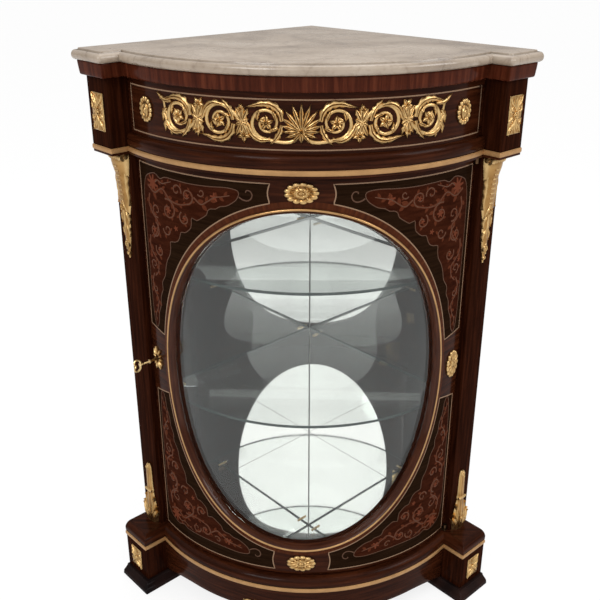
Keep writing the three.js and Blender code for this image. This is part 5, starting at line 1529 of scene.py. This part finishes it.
def standing_stem():
    stations = [(0, 0.16, 0.26), (0.04, 0.3, 0.42), (0.12, 0.35, 0.46), (0.34, 0.37, 0.5),
                (0.42, 0.38, 0.52), (0.44, 0.46, 0.62), (0.48, 0.46, 0.62), (0.5, 0.4, 0.52),
                (0.7, 0.7, 0.66), (0.86, 0.92, 0.84), (1, 0.84, 0.8)]
    parts = [reeded_body(stations, stem_length, 24, 13, 3, 0.16)]
    parts += fan(0, -144, 62, 7, 12, (90, 76, 104), 4)
    parts += fan(0, -144, 46, 6.5, 12, (60, 120), 4)
    parts += fan(-12, -144, 34, 6, 10, (100, 118), 3) + fan(12, -144, 34, 6, 10, (80, 62), 3)
    parts.append(cross_roll(11.5, 3.2, -67, 6.5, 12))
    parts.append(flower_boss(0, -10, 5.6, 8, 7, 3, 3))
    parts.append(flower_boss(0, -122, 7, 8, 13, 6, 6))
    return join_flat(*parts)


for side_name, side in both_sides:
    for casting, top, name, node in (
            (console(), ceiling_low - seat_gap, "console_casting_", "upper_mount_"),
            (standing_stem(), base_high + seat_gap + stem_length, "stem_casting_", "lower_mount_")):
        piece = on_face(casting, side, stile_reach + seat_gap + 0.2, (wall_gap + stile_depth) / 2, top,
                        name + side_name)
        fit(piece, mount_gilt, "case", "gilt", node + side_name)

# Mount in the middle of the apron
# A cast shell between two leaf scrolls, pinned to the pendant of the rail.
apron_z = 54
arm = smooth_line([(4, apron_z), (20, apron_z + 5), (40, apron_z + 4), (60, apron_z + 2), (84, apron_z + 4),
                   (104, apron_z + 8), (122, apron_z + 10)])
arm_strokes = [(arm, 3.4, 1.2, 0.9), (curl(60, apron_z, 14, 180, 440, 0.7), 2.2, 1.3, 0.8)]
arm_reliefs = [acanthus([(8, apron_z), (26, apron_z + 7), (46, apron_z + 14)], 6, 5, 4),
               acanthus([(50, apron_z + 3), (74, apron_z + 9), (98, apron_z + 15)], 6, 5, 4),
               acanthus([(70, apron_z + 2), (88, apron_z - 2), (104, apron_z - 2)], 5, 4.6, 4),
               acanthus([(96, apron_z + 6), (110, apron_z + 11), (121, apron_z + 11)], 4.6, 4, 4),
               flower_boss(60, apron_z, 6, 6, 5.5, 5, 5)]
shell_reliefs = fan(0, apron_z - 8, 34, 4.8, 6, (90, 66, 114, 42, 138, 18, 162), 2)
shell_reliefs += fan(0, apron_z + 2, 24, 6, 6, (-90, -58, -122), 3)
shell_reliefs.append(flower_boss(0, apron_z - 4, 7, 7, 7, 6, 6))
relief = twin_relief("apron_stems", arm_strokes, (7, 9, 0.9), arm_reliefs, shell_reliefs)
mount_on(relief, plinth_radius, 0.4, "apron_shell_casting", "apron_mount")
bpy.data.objects.remove(cast_leaf)

# Key
# A turned shank with two collars and a flat bit, brazed to a cast bow in the outline of a heart.
fit(eased_copy("key", "key_cast", 0.15, 2), plain_brass, "key", "lock_brass", "key")

# Studio
# A plain pale floor, a pale surround and soft lamps above and beside the cabinet, and a camera at the
# height and angle of a person who looks down on the marble.
floor_mesh = bpy.data.meshes.new("studio_floor")
floor_mesh.from_pydata([(-60, -60, 0), (60, -60, 0), (60, 60, 0), (-60, 60, 0)], [], [(0, 1, 2, 3)])
floor = into_scene("studio_floor", floor_mesh)
floor_paint, matt = finish_material("floor_paint", Base_Color=(1, 1, 1, 1), Roughness=0.9)
glow = add(floor_paint, "ShaderNodeEmission", {"Color": (1, 1, 1, 1), "Strength": 1.0})
rays = add(floor_paint, "ShaderNodeLightPath").outputs
seen = maths(floor_paint, "MAXIMUM", rays["Is Camera Ray"], rays["Is Transmission Ray"])
seen = maths(floor_paint, "MAXIMUM", seen, rays["Is Glossy Ray"])
glow_share = 0.8
share = maths(floor_paint, "MULTIPLY", seen, glow_share)
mix = add(floor_paint, "ShaderNodeMixShader", {
    "Fac": share, 1: matt.outputs["BSDF"], 2: glow.outputs["Emission"]})
link(floor_paint, mix.outputs["Shader"], floor_paint.node_tree.nodes["Material Output"], "Surface")
floor_mesh.materials.append(floor_paint)

world = bpy.data.worlds.new("studio")
bpy.context.scene.world = world
world.use_nodes = True
surround = world.node_tree.nodes["Background"]
surround.inputs["Color"].default_value = (1, 1, 1, 1)
heading = add(world, "ShaderNodeTexCoord").outputs["Generated"]
upward = add(world, "ShaderNodeSeparateXYZ", {"Vector": heading}).outputs["Z"]
level = add(world, "ShaderNodeMapRange", {
    "Value": upward, "From Min": 0.1, "From Max": 0.75, "To Min": 0.36, "To Max": 1.0}).outputs["Result"]
glow_way = (0, -0.857, 0.515)
ceiling = add(world, "ShaderNodeVectorMath", {0: heading, 1: glow_way}, operation="DOT_PRODUCT")
glow_level = add(world, "ShaderNodeMapRange", {
    "Value": ceiling.outputs["Value"], "From Min": 0.80, "From Max": 0.965, "To Min": 0, "To Max": 0.55,
}, interpolation_type="SMOOTHSTEP").outputs["Result"]
link(world, maths(world, "ADD", level, glow_level), surround, "Strength")


def softbox(name, place, aim, size, power):
    lamp = bpy.data.lights.new(name, "AREA")
    lamp.shape = "RECTANGLE"
    lamp.size, lamp.size_y = size
    lamp.energy = power
    box = into_scene(name, lamp)
    box.location = place
    box.rotation_euler = (Vector(aim) - Vector(place)).to_track_quat("-Z", "Y").to_euler()


softbox("key_softbox", (-1.5, -2.7, 3.1), (0, 0, 0.6), (1.3, 1.3), 46)
softbox("fill_softbox", (2.3, -0.9, 2.3), (0, 0, 0.6), (1.2, 1.2), 24)
softbox("top_softbox", (0.2, 0.6, 3.2), (0, 0, 1.0), (1.6, 1.6), 16)

camera_data = bpy.data.cameras.new("camera")
camera_data.lens = 49.69
camera_data.sensor_width = 36
camera = into_scene("camera", camera_data)
camera.location = (0.0503, -1.5775, 1.3278)
camera.rotation_euler = (1.5708 - 0.41475, 0, 0.04014)
bpy.context.scene.camera = camera
bpy.context.scene.view_settings.view_transform = "Standard"
light_paths = bpy.context.scene.cycles
light_paths.max_bounces = 24
light_paths.glossy_bounces = 12
light_paths.transparent_max_bounces = 40
